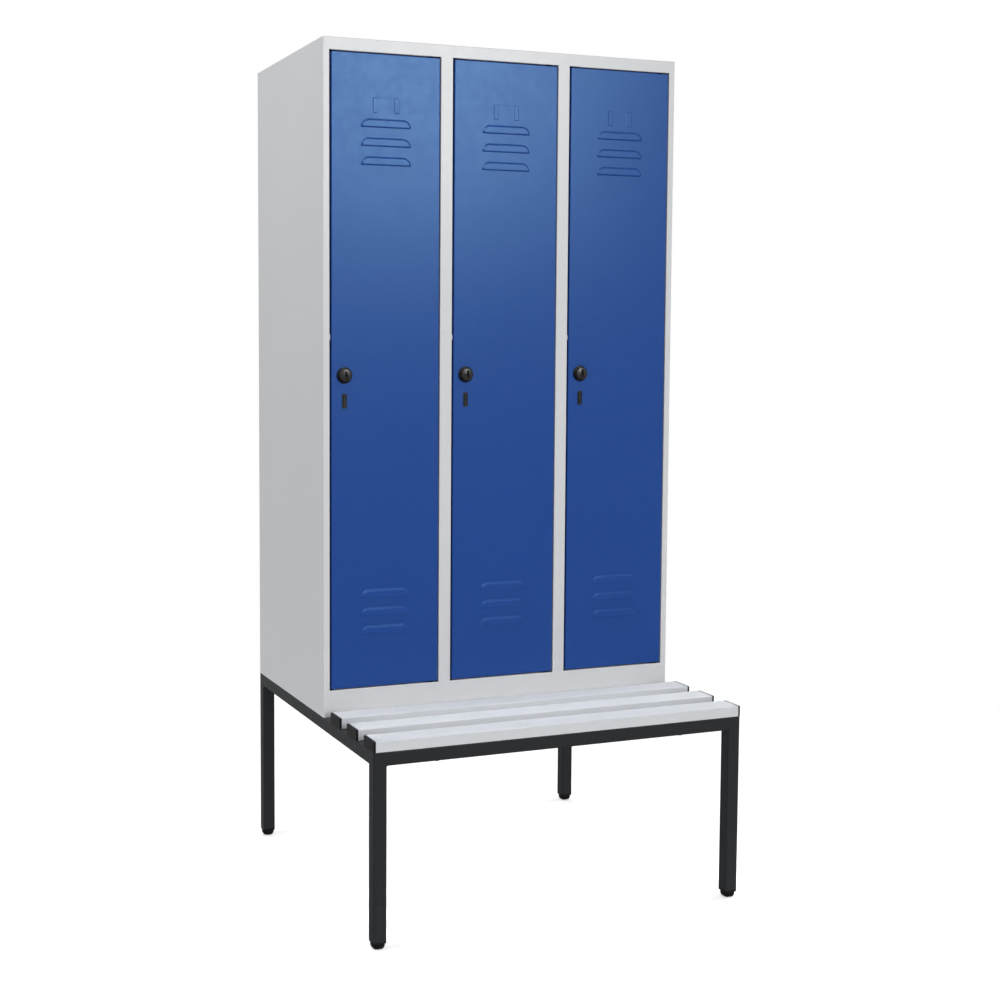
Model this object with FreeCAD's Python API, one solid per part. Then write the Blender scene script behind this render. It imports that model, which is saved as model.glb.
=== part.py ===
import FreeCAD, Part
import math
import os

# Clothes locker with three hinged doors on a square tube underframe with a slatted bench in front.
# Millimetres. Origin on the floor, below the middle of the whole; +Z is up and the doors face -Y.

# Overall sizes
WIDTH = 900.0
TOTAL_DEPTH = 815.0
BODY_DEPTH = 500.0
UNDERFRAME_HEIGHT = 425.0
TOTAL_HEIGHT = 1955.0
BAYS = ("left", "middle", "right")

# Underframe of square tube
TUBE = 30.0
TUBE_WALL = 2.0
TUBE_CORNER = 2.5
FOOT_HEIGHT = 18.0
FOOT_COLLAR = 4.0
FOOT_STEP = 0.5
FOOT_CORNER = 10.5
FOOT_ROUND = 9.5
FOOT_PLUG = 22.0
PLUG_CLEARANCE = 0.2

# Bench slats
SLAT_WIDTH = 60.0
SLAT_THICK = 24.0
SLAT_PITCH = 104.0
SLAT_WALL = 2.5
SLAT_ROUND = 2.0
END_CAP_THICK = 5.0
END_CAP_PLUG = 8.0

# Underframe screws
SCREW_RADIUS = 3.0
SCREW_HEAD_RADIUS = 6.5
SCREW_HEAD_HEIGHT = 4.0
SCREW_BITE = 9.0
SCREW_INSET = 150.0
SIDE_SCREW_INSET = 19.0

# Folded sheet of the body
SHEET = 0.8
BEND = 1.0
STILE = 15.0
TOP_RAIL = 28.5
BOTTOM_RAIL = 61.5
LIP = 20.0
HEM = 8.0
HEM_UP = 10.0
FLOOR_LEVEL = 40.0
FRAME_FLANGE = 20.0
ANCHOR_RADIUS = 4.5
ANCHOR_SPACING = 600.0
ANCHOR_DROP = 55.0

# Shelves, coat rails and coat hooks
SHELF_DROP = 315.0
SHELF_SETBACK = 45.0
SHELF_FRONT = 20.0
SHELF_SIDE = 15.0
SHELF_SIDE_GAP = 0.3
RAIL_DROP = 45.0
RAIL_RADIUS = 9.0
RAIL_WALL = 1.2
RAIL_FLANGE_RADIUS = 14.0
RAIL_FLANGE_THICK = 2.0
HOOK_WIDTH = 16.0
HOOK_CLEARANCE = 0.3
HOOK_RING_WALL = 3.2
HOOK_STEM = 24.0
HOOK_STEM_RADIUS = 2.7
HOOK_BAR = 3.2
HOOK_BEND = 20.0
HOOK_TIP = 6.0
HOOK_BALL = 4.4

# Doors
DOOR_SHEET = 1.0
DOOR_DEPTH = 18.0
DOOR_RETURN = 12.0
GAP_LOCK_SIDE = 4.0
GAP_HINGE_SIDE = 2.5
GAP_TOP = 2.5
GAP_BOTTOM = 2.5
STIFFENER_OFFSET = 95.0
STIFFENER_HALF = 20.0
STIFFENER_FLANGE = 8.0
STIFFENER_DEPTH = 13.5
STIFFENER_END = 20.0

# Louvres pressed out of the doors, open below
LOUVRE_WIDTH = 122.0
LOUVRE_HEIGHT = 19.5
LOUVRE_DEPTH = 3.2
LOUVRE_PITCH = 42.0
LOUVRES_IN_GROUP = 3
UPPER_LOUVRE_Z = 1677.0
LOWER_LOUVRE_Z = 611.0

# Label holder pressed in the doors
LABEL_WIDTH = 64.0
LABEL_BOTTOM = 1793.0
LABEL_HEIGHT = 34.5
LABEL_TAB = 11.0
LABEL_TAB_DEPTH = 1.6
LABEL_CARD_SLOT = 0.8
LABEL_CARD_REACH = 7.0
LABEL_RECESS = 0.4

# Pivot hinges
PIVOT_INSET = 12.0
PIVOT_DEPTH = 6.5
PIN_RADIUS = 3.0
PIN_REACH = 14.5
PIN_HEAD_RADIUS = 5.0
PIN_HEAD_HEIGHT = 2.5
PIVOT_PLATE_LENGTH = 45.5
PIVOT_PLATE_THICK = 2.5
PIVOT_PLATE_DEPTH = 16.0
PIVOT_PLATE_SETBACK = 2.0
NOTCH_HINGE_SIDE = 34.0
NOTCH_LOCK_SIDE = 17.0
NOTCH_HEIGHT = 4.0
BUSH_RADIUS = 4.2
BUSH_COLLAR_RADIUS = 5.3
BUSH_LENGTH = 10.0
BUSH_PLAY = 0.2
RUNNING_CLEARANCE = 0.05

# Lock with turning knob and latch cam
LOCK_FROM_OPENING = 35.0
LOCK_Z = 1205.0
ROSETTE_RADIUS = 18.5
ROSETTE_THICK = 5.0
ROSETTE_BEVEL = 2.0
BARREL_RADIUS = 9.5
BARREL_LENGTH = 16.0
NUT_FLATS = 26.0
NUT_THICK = 4.0
SPINDLE_RADIUS = 6.0
SPINDLE_END_RADIUS = 4.0
SPINDLE_HEAD_RADIUS = 6.0
SPINDLE_HEAD_THICK = 2.0
KNOB_RADIUS = 14.5
KNOB_THICK = 8.5
KNOB_GAP = 0.3
KNOB_DOME = 2.6
KNOB_EDGE = 1.2
KNOB_RECESS_WIDTH = 6.0
KNOB_RECESS_HEIGHT = 20.0
KNOB_RECESS_DEPTH = 5.2
CORE_RADIUS = 2.8
CORE_LENGTH = 3.0
KEYHOLE_WIDTH = 1.4
KEYHOLE_HEIGHT = 4.0
KEYHOLE_DEPTH = 2.4
CAM_GAP = 0.8
CAM_THICK = 2.5
CAM_LENGTH = 45.0
CAM_WIDTH = 18.0

# Blanking plug below the lock
PLUG_WIDTH = 9.4
PLUG_HEIGHT = 31.5
PLUG_CORNER = 2.0
PLUG_DROP = 58.0
PLUG_FLANGE = 1.0
PLUG_PROUD = 1.4
PLUG_DEPTH = 6.0
PLUG_GROOVE_WIDTH = 2.0
PLUG_GROOVE_HEIGHT = 28.0
PLUG_GROOVE_DEPTH = 2.4
PLUG_GROOVE_OFFSET = 3.2

# Door buffers on the stiles
BUFFER_RISE = 86.0
BUFFER_RADIUS = 9.5
BUFFER_THICK = 1.9
BUFFER_EDGE = 1.2
BUFFER_SETBACK = 0.4
BUFFER_STEM_RADIUS = 2.0
BUFFER_STEM = 5.0

# Planes and positions that follow from the sizes
V = FreeCAD.Vector
HALF = WIDTH / 2
BACK = TOTAL_DEPTH / 2
BENCH_FRONT = -TOTAL_DEPTH / 2
FRONT = BACK - BODY_DEPTH
STILE_REAR = FRONT + LIP
WALL_TOP = TOTAL_HEIGHT - SHEET
BACK_WALL_REAR = BACK - SHEET
BACK_WALL_FRONT = BACK_WALL_REAR - SHEET
BAY_PITCH = WIDTH / len(BAYS)
OPENING_BOTTOM = UNDERFRAME_HEIGHT + BOTTOM_RAIL
OPENING_TOP = TOTAL_HEIGHT - TOP_RAIL
FLOOR_TOP = UNDERFRAME_HEIGHT + FLOOR_LEVEL
RAIL_BOTTOM = UNDERFRAME_HEIGHT - TUBE
DOOR_BACK = FRONT + DOOR_DEPTH
DOOR_BOTTOM = OPENING_BOTTOM + GAP_BOTTOM
DOOR_TOP = OPENING_TOP - GAP_TOP
DOOR_INSIDE = FRONT + DOOR_SHEET
PIVOT_Y = FRONT + PIVOT_DEPTH
SHELF_Z = TOTAL_HEIGHT - SHELF_DROP
COAT_RAIL_Z = SHELF_Z - RAIL_DROP
COAT_RAIL_Y = BACK - BODY_DEPTH / 2
CAM_FRONT = STILE_REAR + CAM_GAP

nodes = {}


def block(x0, x1, y0, y1, z0, z1):
    """Box between two corners."""
    return Part.makeBox(x1 - x0, y1 - y0, z1 - z0, V(x0, y0, z0))


def rod(radius, start, end):
    """Round bar between two points."""
    run = V(*end) - V(*start)
    return Part.makeCylinder(radius, run.Length, V(*start), run)


def merge(first, *others):
    """One solid out of several that touch."""
    return first.fuse(list(others)).removeSplitter()


def round_edges(solid, radius, along, where=None):
    """Fillet the straight edges that run along one axis, at the places that where accepts."""
    axis = {"x": V(1, 0, 0), "y": V(0, 1, 0), "z": V(0, 0, 1)}[along]
    chosen = []
    for edge in solid.Edges:
        if not isinstance(edge.Curve, Part.Line):
            continue
        lengthwise = abs(edge.Curve.Direction.dot(axis)) > 0.999
        if lengthwise and (where is None or where(edge.CenterOfMass)):
            chosen.append(edge)
    return solid.makeFillet(radius, chosen)


def square_tube(x0, x1, y0, y1, z0, z1, along):
    """Hollow square tube with rounded corners, open at both ends."""
    outside = round_edges(block(x0, x1, y0, y1, z0, z1), TUBE_CORNER, along)
    inset = {axis: 0 if axis == along else TUBE_WALL for axis in "xyz"}
    return outside.cut(block(x0 + inset["x"], x1 - inset["x"], y0 + inset["y"], y1 - inset["y"],
                             z0 + inset["z"], z1 - inset["z"]))


def offset_corners(points, distance):
    """Corners of a line of straight runs moved to its left by a distance."""
    normals = []
    for (u0, v0), (u1, v1) in zip(points, points[1:]):
        length = math.hypot(u1 - u0, v1 - v0)
        normals.append(((v0 - v1) / length, (u1 - u0) / length))
    moved = []
    for index, (u, v) in enumerate(points):
        before = normals[max(index - 1, 0)]
        after = normals[min(index, len(normals) - 1)]
        scale = distance / (1 + before[0] * after[0] + before[1] * after[1])
        moved.append((u + scale * (before[0] + after[0]), v + scale * (before[1] + after[1])))
    return moved


def bent_line(points, radii, place):
    """Edges of a line of straight runs with an arc at each inner corner."""
    edges = []
    start = points[0]
    for index in range(1, len(points) - 1):
        before, corner, after = (V(*points[index + step], 0) for step in (-1, 0, 1))
        arriving = (corner - before).normalize()
        leaving = (after - corner).normalize()
        turn = math.acos(max(-1.0, min(1.0, arriving.dot(leaving))))
        setback = radii[index - 1] * math.tan(turn / 2)
        arc_start = corner - arriving * setback
        arc_end = corner + leaving * setback
        inward = (leaving - arriving).normalize()
        middle = corner + inward * (radii[index - 1] / math.cos(turn / 2) - radii[index - 1])
        edges.append(Part.LineSegment(place(*start), place(arc_start.x, arc_start.y)).toShape())
        through = [place(point.x, point.y) for point in (arc_start, middle, arc_end)]
        edges.append(Part.Arc(*through).toShape())
        start = (arc_end.x, arc_end.y)
    edges.append(Part.LineSegment(place(*start), place(*points[-1])).toShape())
    return edges


def folded_sheet(points, thick, place, run, side=1):
    """Sheet folded along a line, its thickness on the line's left (side 1) or right (side -1)."""
    inner = offset_corners(points, side * thick)
    outer_radii = []
    inner_radii = []
    for (u0, v0), (u1, v1), (u2, v2) in zip(points, points[1:], points[2:]):
        left_turn = (u1 - u0) * (v2 - v1) - (v1 - v0) * (u2 - u1) > 0
        outside_bend = left_turn == (side > 0)
        outer_radii.append(BEND + thick if outside_bend else BEND)
        inner_radii.append(BEND if outside_bend else BEND + thick)
    edges = bent_line(points, outer_radii, place) + bent_line(inner, inner_radii, place)
    for outer_end, inner_end in ((points[0], inner[0]), (points[-1], inner[-1])):
        edges.append(Part.LineSegment(place(*outer_end), place(*inner_end)).toShape())
    wire = Part.Wire(Part.__sortEdges__(edges))
    return Part.Face(wire).extrude(run)


def plan_at(z):
    """Places a plan drawing at a height."""
    return lambda u, v: V(u, v, z)


def side_view_at(x):
    """Places a drawing of depth and height at a width."""
    return lambda u, v: V(x, u, v)


def upright_slot(x, z, width, height, y0, y1):
    """Prism with a tall round-ended outline, from y0 back to y1."""
    radius = width / 2
    reach = height / 2 - radius
    middle = block(x - radius, x + radius, y0, y1, z - reach, z + reach)
    ends = [rod(radius, (x, y0, z + step), (x, y1, z + step)) for step in (-reach, reach)]
    return merge(middle, *ends)


def rounded_plate(x, z, width, height, corner, y0, y1):
    """Prism with a rectangular outline with rounded corners, from y0 back to y1."""
    plate = block(x - width / 2, x + width / 2, y0, y1, z - height / 2, z + height / 2)
    return round_edges(plate, corner, "y")


def hexagon(x, z, flats, y0, y1):
    """Six-sided prism from y0 back to y1."""
    corner = flats / math.sqrt(3)
    points = []
    for index in range(7):
        angle = math.radians(60 * index)
        points.append(V(x + corner * math.cos(angle), y0, z + corner * math.sin(angle)))
    return Part.Face(Part.makePolygon(points)).extrude(V(0, y1 - y0, 0))


def bay_centre(index):
    """Middle of a locker compartment across the width."""
    return (index - (len(BAYS) - 1) / 2) * BAY_PITCH


def opening_left(index):
    return bay_centre(index) - BAY_PITCH / 2 + STILE


def opening_right(index):
    return bay_centre(index) + BAY_PITCH / 2 - STILE


def bay_inside(index):
    """Inner faces of the two walls of a compartment."""
    left = -HALF + SHEET if index == 0 else bay_centre(index) - BAY_PITCH / 2 + SHEET / 2
    right = HALF - SHEET if index == len(BAYS) - 1 else bay_centre(index) + BAY_PITCH / 2 - SHEET / 2
    return left, right


def slat_front(index):
    """Front edge of a slat, counted from the front of the bench."""
    return BENCH_FRONT + index * SLAT_PITCH


# Screws: the front slat is held through the front rail, the others through the side rails,
# and the body is held down on the middle and rear rails.
def slat_screw_places():
    places = [(side * (HALF - SCREW_INSET), BENCH_FRONT + TUBE / 2) for side in (-1, 1)]
    for index in (1, 2):
        y = slat_front(index) + TUBE / 2
        places += [(side * (HALF - SIDE_SCREW_INSET), y) for side in (-1, 1)]
    return places


def body_screw_places():
    rows = (FRONT + TUBE / 2, BACK - TUBE / 2)
    return [(side * (HALF - SCREW_INSET), y) for y in rows for side in (-1, 1)]


def drill_down(solid, places, z0, z1):
    """Screw holes through a solid at the given places."""
    return solid.cut([rod(SCREW_RADIUS, (x, y, z0), (x, y, z1)) for x, y in places])


def make_underframe():
    """Legs, feet and rails of square tube."""
    feet = []
    corners = {"front_left": (-1, -1), "front_right": (1, -1), "rear_left": (-1, 1), "rear_right": (1, 1)}
    for name, (side, end) in corners.items():
        x = side * (HALF - TUBE / 2)
        y = end * (BACK - TUBE / 2)
        nodes[name + "_leg"] = square_tube(x - TUBE / 2, x + TUBE / 2, y - TUBE / 2, y + TUBE / 2,
                                           FOOT_HEIGHT, UNDERFRAME_HEIGHT, "z")
        feet.append(make_foot(x, y))
    nodes["leg_feet"] = Part.makeCompound(feet)

    drill = (RAIL_BOTTOM - 1, UNDERFRAME_HEIGHT + 1)
    screws = slat_screw_places() + body_screw_places()
    across = HALF - TUBE
    for side, name in ((-1, "left_side_rail"), (1, "right_side_rail")):
        x = side * (HALF - TUBE / 2)
        rail = square_tube(x - TUBE / 2, x + TUBE / 2, BENCH_FRONT + TUBE, BACK - TUBE,
                           RAIL_BOTTOM, UNDERFRAME_HEIGHT, "y")
        nodes[name] = drill_down(rail, screws, *drill)
    for name, y in (("front_rail", BENCH_FRONT), ("middle_rail", FRONT), ("rear_rail", BACK - TUBE)):
        rail = square_tube(-across, across, y, y + TUBE, RAIL_BOTTOM, UNDERFRAME_HEIGHT, "x")
        nodes[name] = drill_down(rail, screws, *drill)


def make_foot(x, y):
    """Plastic foot: a collar as wide as the tube, a rounded end below it and a plug up into the leg."""
    edge = TUBE / 2
    joint = FOOT_HEIGHT - FOOT_COLLAR
    collar = block(x - edge, x + edge, y - edge, y + edge, joint, FOOT_HEIGHT)
    collar = round_edges(collar, TUBE_CORNER, "z")
    end = edge - FOOT_STEP
    foot = round_edges(block(x - end, x + end, y - end, y + end, 0, joint), FOOT_CORNER, "z")
    foot = foot.makeFillet(FOOT_ROUND, [rim for rim in foot.Edges if rim.BoundBox.ZMax < 1])
    plug = edge - TUBE_WALL - PLUG_CLEARANCE
    plug = block(x - plug, x + plug, y - plug, y + plug, FOOT_HEIGHT, FOOT_HEIGHT + FOOT_PLUG)
    return merge(collar, foot, plug)


def slat_outline(x0, x1, y, radius):
    """Solid bar with the outside shape of a slat."""
    bar = block(x0, x1, y, y + SLAT_WIDTH, UNDERFRAME_HEIGHT, UNDERFRAME_HEIGHT + SLAT_THICK)
    return round_edges(bar, radius, "x", lambda point: point.z > UNDERFRAME_HEIGHT + 1)


def slat_chambers(x0, x1, y, shrink):
    """The two hollows of a slat, or the plugs that fit them."""
    width = (SLAT_WIDTH - 3 * SLAT_WALL) / 2
    chambers = []
    for start in (y + SLAT_WALL, y + 2 * SLAT_WALL + width):
        chambers.append(block(x0, x1, start + shrink, start + width - shrink,
                              UNDERFRAME_HEIGHT + SLAT_WALL + shrink,
                              UNDERFRAME_HEIGHT + SLAT_THICK - SLAT_WALL - shrink))
    return chambers


def make_bench():
    """Three hollow slats with end caps, and the screws of the underframe."""
    inside = HALF - END_CAP_THICK
    caps = []
    for index, name in enumerate(("front_slat", "middle_slat", "rear_slat")):
        y = slat_front(index)
        slat = slat_outline(-inside, inside, y, SLAT_ROUND).cut(slat_chambers(-inside, inside, y, 0))
        drill = (UNDERFRAME_HEIGHT - 1, UNDERFRAME_HEIGHT + SLAT_WALL + 1)
        nodes[name] = drill_down(slat, slat_screw_places(), *drill)
        for x0, x1, plug0, plug1 in ((-HALF, -inside, -inside, -inside + END_CAP_PLUG),
                                     (inside, HALF, inside - END_CAP_PLUG, inside)):
            plate = slat_outline(x0, x1, y, SLAT_ROUND)
            caps.append(merge(plate, *slat_chambers(plug0, plug1, y, PLUG_CLEARANCE)))
    nodes["slat_end_caps"] = Part.makeCompound(caps)

    screws = []
    for x, y in slat_screw_places() + body_screw_places():
        shank = rod(SCREW_RADIUS, (x, y, RAIL_BOTTOM), (x, y, UNDERFRAME_HEIGHT + SCREW_BITE))
        head = rod(SCREW_HEAD_RADIUS, (x, y, RAIL_BOTTOM - SCREW_HEAD_HEIGHT), (x, y, RAIL_BOTTOM))
        screws.append(merge(shank, head))
    nodes["underframe_screws"] = Part.makeCompound(screws)


def make_walls():
    """Outer sheets of the body: sides, back, roof and floor pan."""
    side = folded_sheet([(-HALF + FRAME_FLANGE, BACK), (-HALF, BACK), (-HALF, FRONT), (-HALF + STILE, FRONT),
                         (-HALF + STILE, STILE_REAR), (-HALF + STILE - HEM, STILE_REAR)],
                        SHEET, plan_at(UNDERFRAME_HEIGHT), V(0, 0, WALL_TOP - UNDERFRAME_HEIGHT))
    nodes["left_side_wall"] = side.cut(buffer_stem(0))
    nodes["right_side_wall"] = side.mirror(V(0, 0, 0), V(1, 0, 0))

    back_half = HALF - SHEET - BEND
    back = block(-back_half, back_half, BACK_WALL_FRONT, BACK_WALL_REAR, UNDERFRAME_HEIGHT, WALL_TOP)
    anchor_z = TOTAL_HEIGHT - ANCHOR_DROP
    for x in (-ANCHOR_SPACING / 2, ANCHOR_SPACING / 2):
        back = back.cut(rod(ANCHOR_RADIUS, (x, BACK_WALL_FRONT - 1, anchor_z), (x, BACK + 1, anchor_z)))
    nodes["back_wall"] = back

    between = HALF - STILE
    roof = folded_sheet([(BACK, TOTAL_HEIGHT), (FRONT, TOTAL_HEIGHT), (FRONT, OPENING_TOP),
                         (STILE_REAR, OPENING_TOP), (STILE_REAR, OPENING_TOP + HEM_UP)],
                        SHEET, side_view_at(-between), V(2 * between, 0, 0))
    edges = [block(x0, x0 + STILE, FRONT, BACK, WALL_TOP, TOTAL_HEIGHT) for x0 in (-HALF, between)]
    nodes["roof"] = merge(roof, *edges).cut(lip_notches(OPENING_TOP - 1, OPENING_TOP + NOTCH_HEIGHT))

    rear = BACK_WALL_FRONT
    pan = folded_sheet([(FRONT + TUBE, UNDERFRAME_HEIGHT), (FRONT, UNDERFRAME_HEIGHT),
                        (FRONT, OPENING_BOTTOM), (STILE_REAR, OPENING_BOTTOM), (STILE_REAR, FLOOR_TOP),
                        (rear, FLOOR_TOP), (rear, UNDERFRAME_HEIGHT),
                        (rear - TUBE + SHEET, UNDERFRAME_HEIGHT)],
                       SHEET, side_view_at(-between), V(2 * between, 0, 0), side=-1)
    inset = BEND + SHEET
    margins = [block(x0, x0 + STILE - SHEET, STILE_REAR + inset, rear - inset, FLOOR_TOP - SHEET, FLOOR_TOP)
               for x0 in (-HALF + SHEET, between)]
    pan = merge(pan, *margins).cut(lip_notches(OPENING_BOTTOM - NOTCH_HEIGHT, OPENING_BOTTOM + 1))
    drill = (UNDERFRAME_HEIGHT - 1, UNDERFRAME_HEIGHT + SHEET + 1)
    nodes["floor_pan"] = drill_down(pan, body_screw_places(), *drill)


def lip_notches(z0, z1):
    """Cut-outs at both ends of the lip over or under each door."""
    y0 = FRONT + SHEET
    y1 = STILE_REAR + 1
    cuts = []
    for index in range(len(BAYS)):
        left = opening_left(index)
        right = opening_right(index)
        cuts.append(block(left, left + NOTCH_LOCK_SIDE, y0, y1, z0, z1))
        cuts.append(block(right - NOTCH_HINGE_SIDE, right, y0, y1, z0, z1))
    return cuts


def make_partitions():
    """Inner walls, each folded into a boxed stile at its front edge."""
    for index, name in ((0, "left_partition"), (1, "right_partition")):
        x = bay_centre(index) + BAY_PITCH / 2
        web = x + SHEET / 2
        run = V(0, 0, OPENING_TOP - OPENING_BOTTOM)
        wall = folded_sheet([(x - STILE + HEM, STILE_REAR), (x - STILE, STILE_REAR), (x - STILE, FRONT),
                             (x + STILE, FRONT), (x + STILE, STILE_REAR), (web, STILE_REAR),
                             (web, BACK_WALL_FRONT)], SHEET, plan_at(OPENING_BOTTOM), run)
        web_front = STILE_REAR + BEND + SHEET
        tail = block(web - SHEET, web, web_front, BACK_WALL_FRONT, FLOOR_TOP, OPENING_BOTTOM)
        crown = block(web - SHEET, web, web_front, BACK_WALL_FRONT, OPENING_TOP, WALL_TOP)
        nodes[name] = merge(wall, tail, crown).cut(buffer_stem(index + 1))


def make_inside(index, bay):
    """Hat shelf, coat rail and coat hook of one compartment."""
    left, right = bay_inside(index)
    left += SHELF_SIDE_GAP
    right -= SHELF_SIDE_GAP
    front = FRONT + SHELF_SETBACK
    shelf = folded_sheet([(BACK_WALL_FRONT, SHELF_Z), (front, SHELF_Z), (front, SHELF_Z - SHELF_FRONT),
                          (front + SHELF_SIDE, SHELF_Z - SHELF_FRONT)],
                         SHEET, side_view_at(left), V(right - left, 0, 0))
    sides = []
    side_front = front + SHELF_SIDE + 1
    for x0 in (left, right - SHEET):
        sides.append(block(x0, x0 + SHEET, side_front, BACK_WALL_FRONT, SHELF_Z - SHELF_SIDE, SHELF_Z))
    nodes[bay + "_hat_shelf"] = merge(shelf, *sides)

    left, right = bay_inside(index)
    y, z = COAT_RAIL_Y, COAT_RAIL_Z
    rail = rod(RAIL_RADIUS, (left, y, z), (right, y, z))
    flanges = [rod(RAIL_FLANGE_RADIUS, (x, y, z), (x + RAIL_FLANGE_THICK, y, z))
               for x in (left, right - RAIL_FLANGE_THICK)]
    bore = rod(RAIL_RADIUS - RAIL_WALL, (left, y, z), (right, y, z))
    nodes[bay + "_coat_rail"] = merge(rail, *flanges).cut(bore)
    nodes[bay + "_coat_hook"] = make_hook(bay_centre(index), y, z)


def make_hook(x, y, z):
    """Double coat hook: a ring on the rail and a stem down to a half round with two upturned arms."""
    inner = RAIL_RADIUS + HOOK_CLEARANCE
    outer = inner + HOOK_RING_WALL
    ends = ((x - HOOK_WIDTH / 2, y, z), (x + HOOK_WIDTH / 2, y, z))
    bend_z = z - outer - HOOK_STEM
    section = Part.Face(Part.Wire(Part.makeCircle(HOOK_BAR, V(x, y - HOOK_BEND, bend_z), V(0, 0, 1))))
    pieces = [rod(HOOK_STEM_RADIUS, (x, y, z - inner - HOOK_RING_WALL / 2), (x, y, bend_z - HOOK_BEND)),
              section.revolve(V(x, y, bend_z), V(1, 0, 0), 180)]
    for arm_y in (y - HOOK_BEND, y + HOOK_BEND):
        pieces.append(rod(HOOK_BAR, (x, arm_y, bend_z), (x, arm_y, bend_z + HOOK_TIP)))
        pieces.append(Part.makeSphere(HOOK_BALL, V(x, arm_y, bend_z + HOOK_TIP)))
    return merge(rod(outer, *ends), *pieces).cut(rod(inner, *ends))


def door_edges(index):
    return opening_left(index) + GAP_LOCK_SIDE, opening_right(index) - GAP_HINGE_SIDE


def pivot_x(index):
    return opening_right(index) - GAP_HINGE_SIDE - PIVOT_INSET


def lock_x(index):
    return opening_left(index) + LOCK_FROM_OPENING


def louvre_shell(x, z, shrink, behind):
    """Pressed hood of a louvre, rounded at its upper corners, or the hollow inside it."""
    reach = LOUVRE_WIDTH / 2 - LOUVRE_HEIGHT
    height = LOUVRE_HEIGHT - shrink
    depth = LOUVRE_DEPTH - shrink
    flat = LOUVRE_HEIGHT - LOUVRE_DEPTH

    def place(rise, out):
        return V(x - reach, FRONT - out, z + rise)

    bulge = depth * math.sqrt(0.5)
    edges = [Part.LineSegment(place(0, -behind), place(0, depth)).toShape(),
             Part.LineSegment(place(0, depth), place(flat, depth)).toShape(),
             Part.Arc(place(flat, depth), place(flat + bulge, bulge), place(height, 0)).toShape(),
             Part.LineSegment(place(height, 0), place(height, -behind)).toShape(),
             Part.LineSegment(place(height, -behind), place(0, -behind)).toShape()]
    section = Part.Face(Part.Wire(edges))
    middle = section.extrude(V(2 * reach, 0, 0))
    left_end = section.revolve(V(x - reach, FRONT, z), V(0, 1, 0), -90)
    moved = section.translated(V(2 * reach, 0, 0))
    right_end = moved.revolve(V(x + reach, FRONT, z), V(0, 1, 0), 90)
    return merge(middle, left_end, right_end)


def louvre_heights():
    steps = [count * LOUVRE_PITCH for count in range(LOUVRES_IN_GROUP)]
    return [start + step for start in (LOWER_LOUVRE_Z, UPPER_LOUVRE_Z) for step in steps]


def make_door_panel(index):
    """Folded door sheet with louvres, label holder and the holes for its hardware."""
    left, right = door_edges(index)
    panel = folded_sheet([(left + DOOR_RETURN, DOOR_BACK), (left, DOOR_BACK), (left, FRONT), (right, FRONT),
                          (right, DOOR_BACK), (right - DOOR_RETURN, DOOR_BACK)],
                         DOOR_SHEET, plan_at(DOOR_BOTTOM), V(0, 0, DOOR_TOP - DOOR_BOTTOM))
    inside = DOOR_SHEET
    ends = [block(left + inside, right - inside, DOOR_INSIDE, DOOR_BACK, z, z + DOOR_SHEET)
            for z in (DOOR_BOTTOM, DOOR_TOP - DOOR_SHEET)]
    x = bay_centre(index)
    added = [louvre_shell(x, z, 0, DOOR_SHEET / 2) for z in louvre_heights()]
    removed = [louvre_shell(x, z, DOOR_SHEET, DOOR_SHEET + 1) for z in louvre_heights()]

    top = LABEL_BOTTOM + LABEL_HEIGHT
    for side in (-1, 1):
        outer = x + side * LABEL_WIDTH / 2
        inner = outer - side * LABEL_TAB
        x0, x1 = sorted((outer, inner))
        added.append(block(x0, x1, FRONT - LABEL_TAB_DEPTH, FRONT, LABEL_BOTTOM, top))
        x0, x1 = sorted((inner, inner + side * LABEL_CARD_REACH))
        removed.append(block(x0, x1, FRONT - LABEL_CARD_SLOT, FRONT, LABEL_BOTTOM, top))
    card_half = LABEL_WIDTH / 2 - LABEL_TAB + LABEL_CARD_REACH
    removed.append(block(x - card_half, x + card_half, FRONT, FRONT + LABEL_RECESS, LABEL_BOTTOM, top))

    lock = lock_x(index)
    removed.append(rod(BARREL_RADIUS, (lock, FRONT - 1, LOCK_Z), (lock, DOOR_INSIDE + 1, LOCK_Z)))
    removed.append(rounded_plate(lock, LOCK_Z - PLUG_DROP, PLUG_WIDTH, PLUG_HEIGHT, PLUG_CORNER,
                                 FRONT - 1, DOOR_INSIDE + 1))
    pivot = pivot_x(index)
    removed.append(rod(BUSH_RADIUS, (pivot, PIVOT_Y, DOOR_BOTTOM - 1), (pivot, PIVOT_Y, DOOR_TOP + 1)))
    return merge(panel, *ends, *added).cut(removed)


def make_stiffener(index):
    """Hat channel up the inside of a door, beside the louvres."""
    x = bay_centre(index) + STIFFENER_OFFSET
    crest = DOOR_INSIDE + STIFFENER_DEPTH
    outline = [(x - STIFFENER_HALF - STIFFENER_FLANGE, DOOR_INSIDE), (x - STIFFENER_HALF, DOOR_INSIDE),
               (x - STIFFENER_HALF, crest), (x + STIFFENER_HALF, crest),
               (x + STIFFENER_HALF, DOOR_INSIDE), (x + STIFFENER_HALF + STIFFENER_FLANGE, DOOR_INSIDE)]
    z0 = DOOR_BOTTOM + STIFFENER_END
    return folded_sheet(outline, SHEET, plan_at(z0), V(0, 0, DOOR_TOP - STIFFENER_END - z0))


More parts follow.
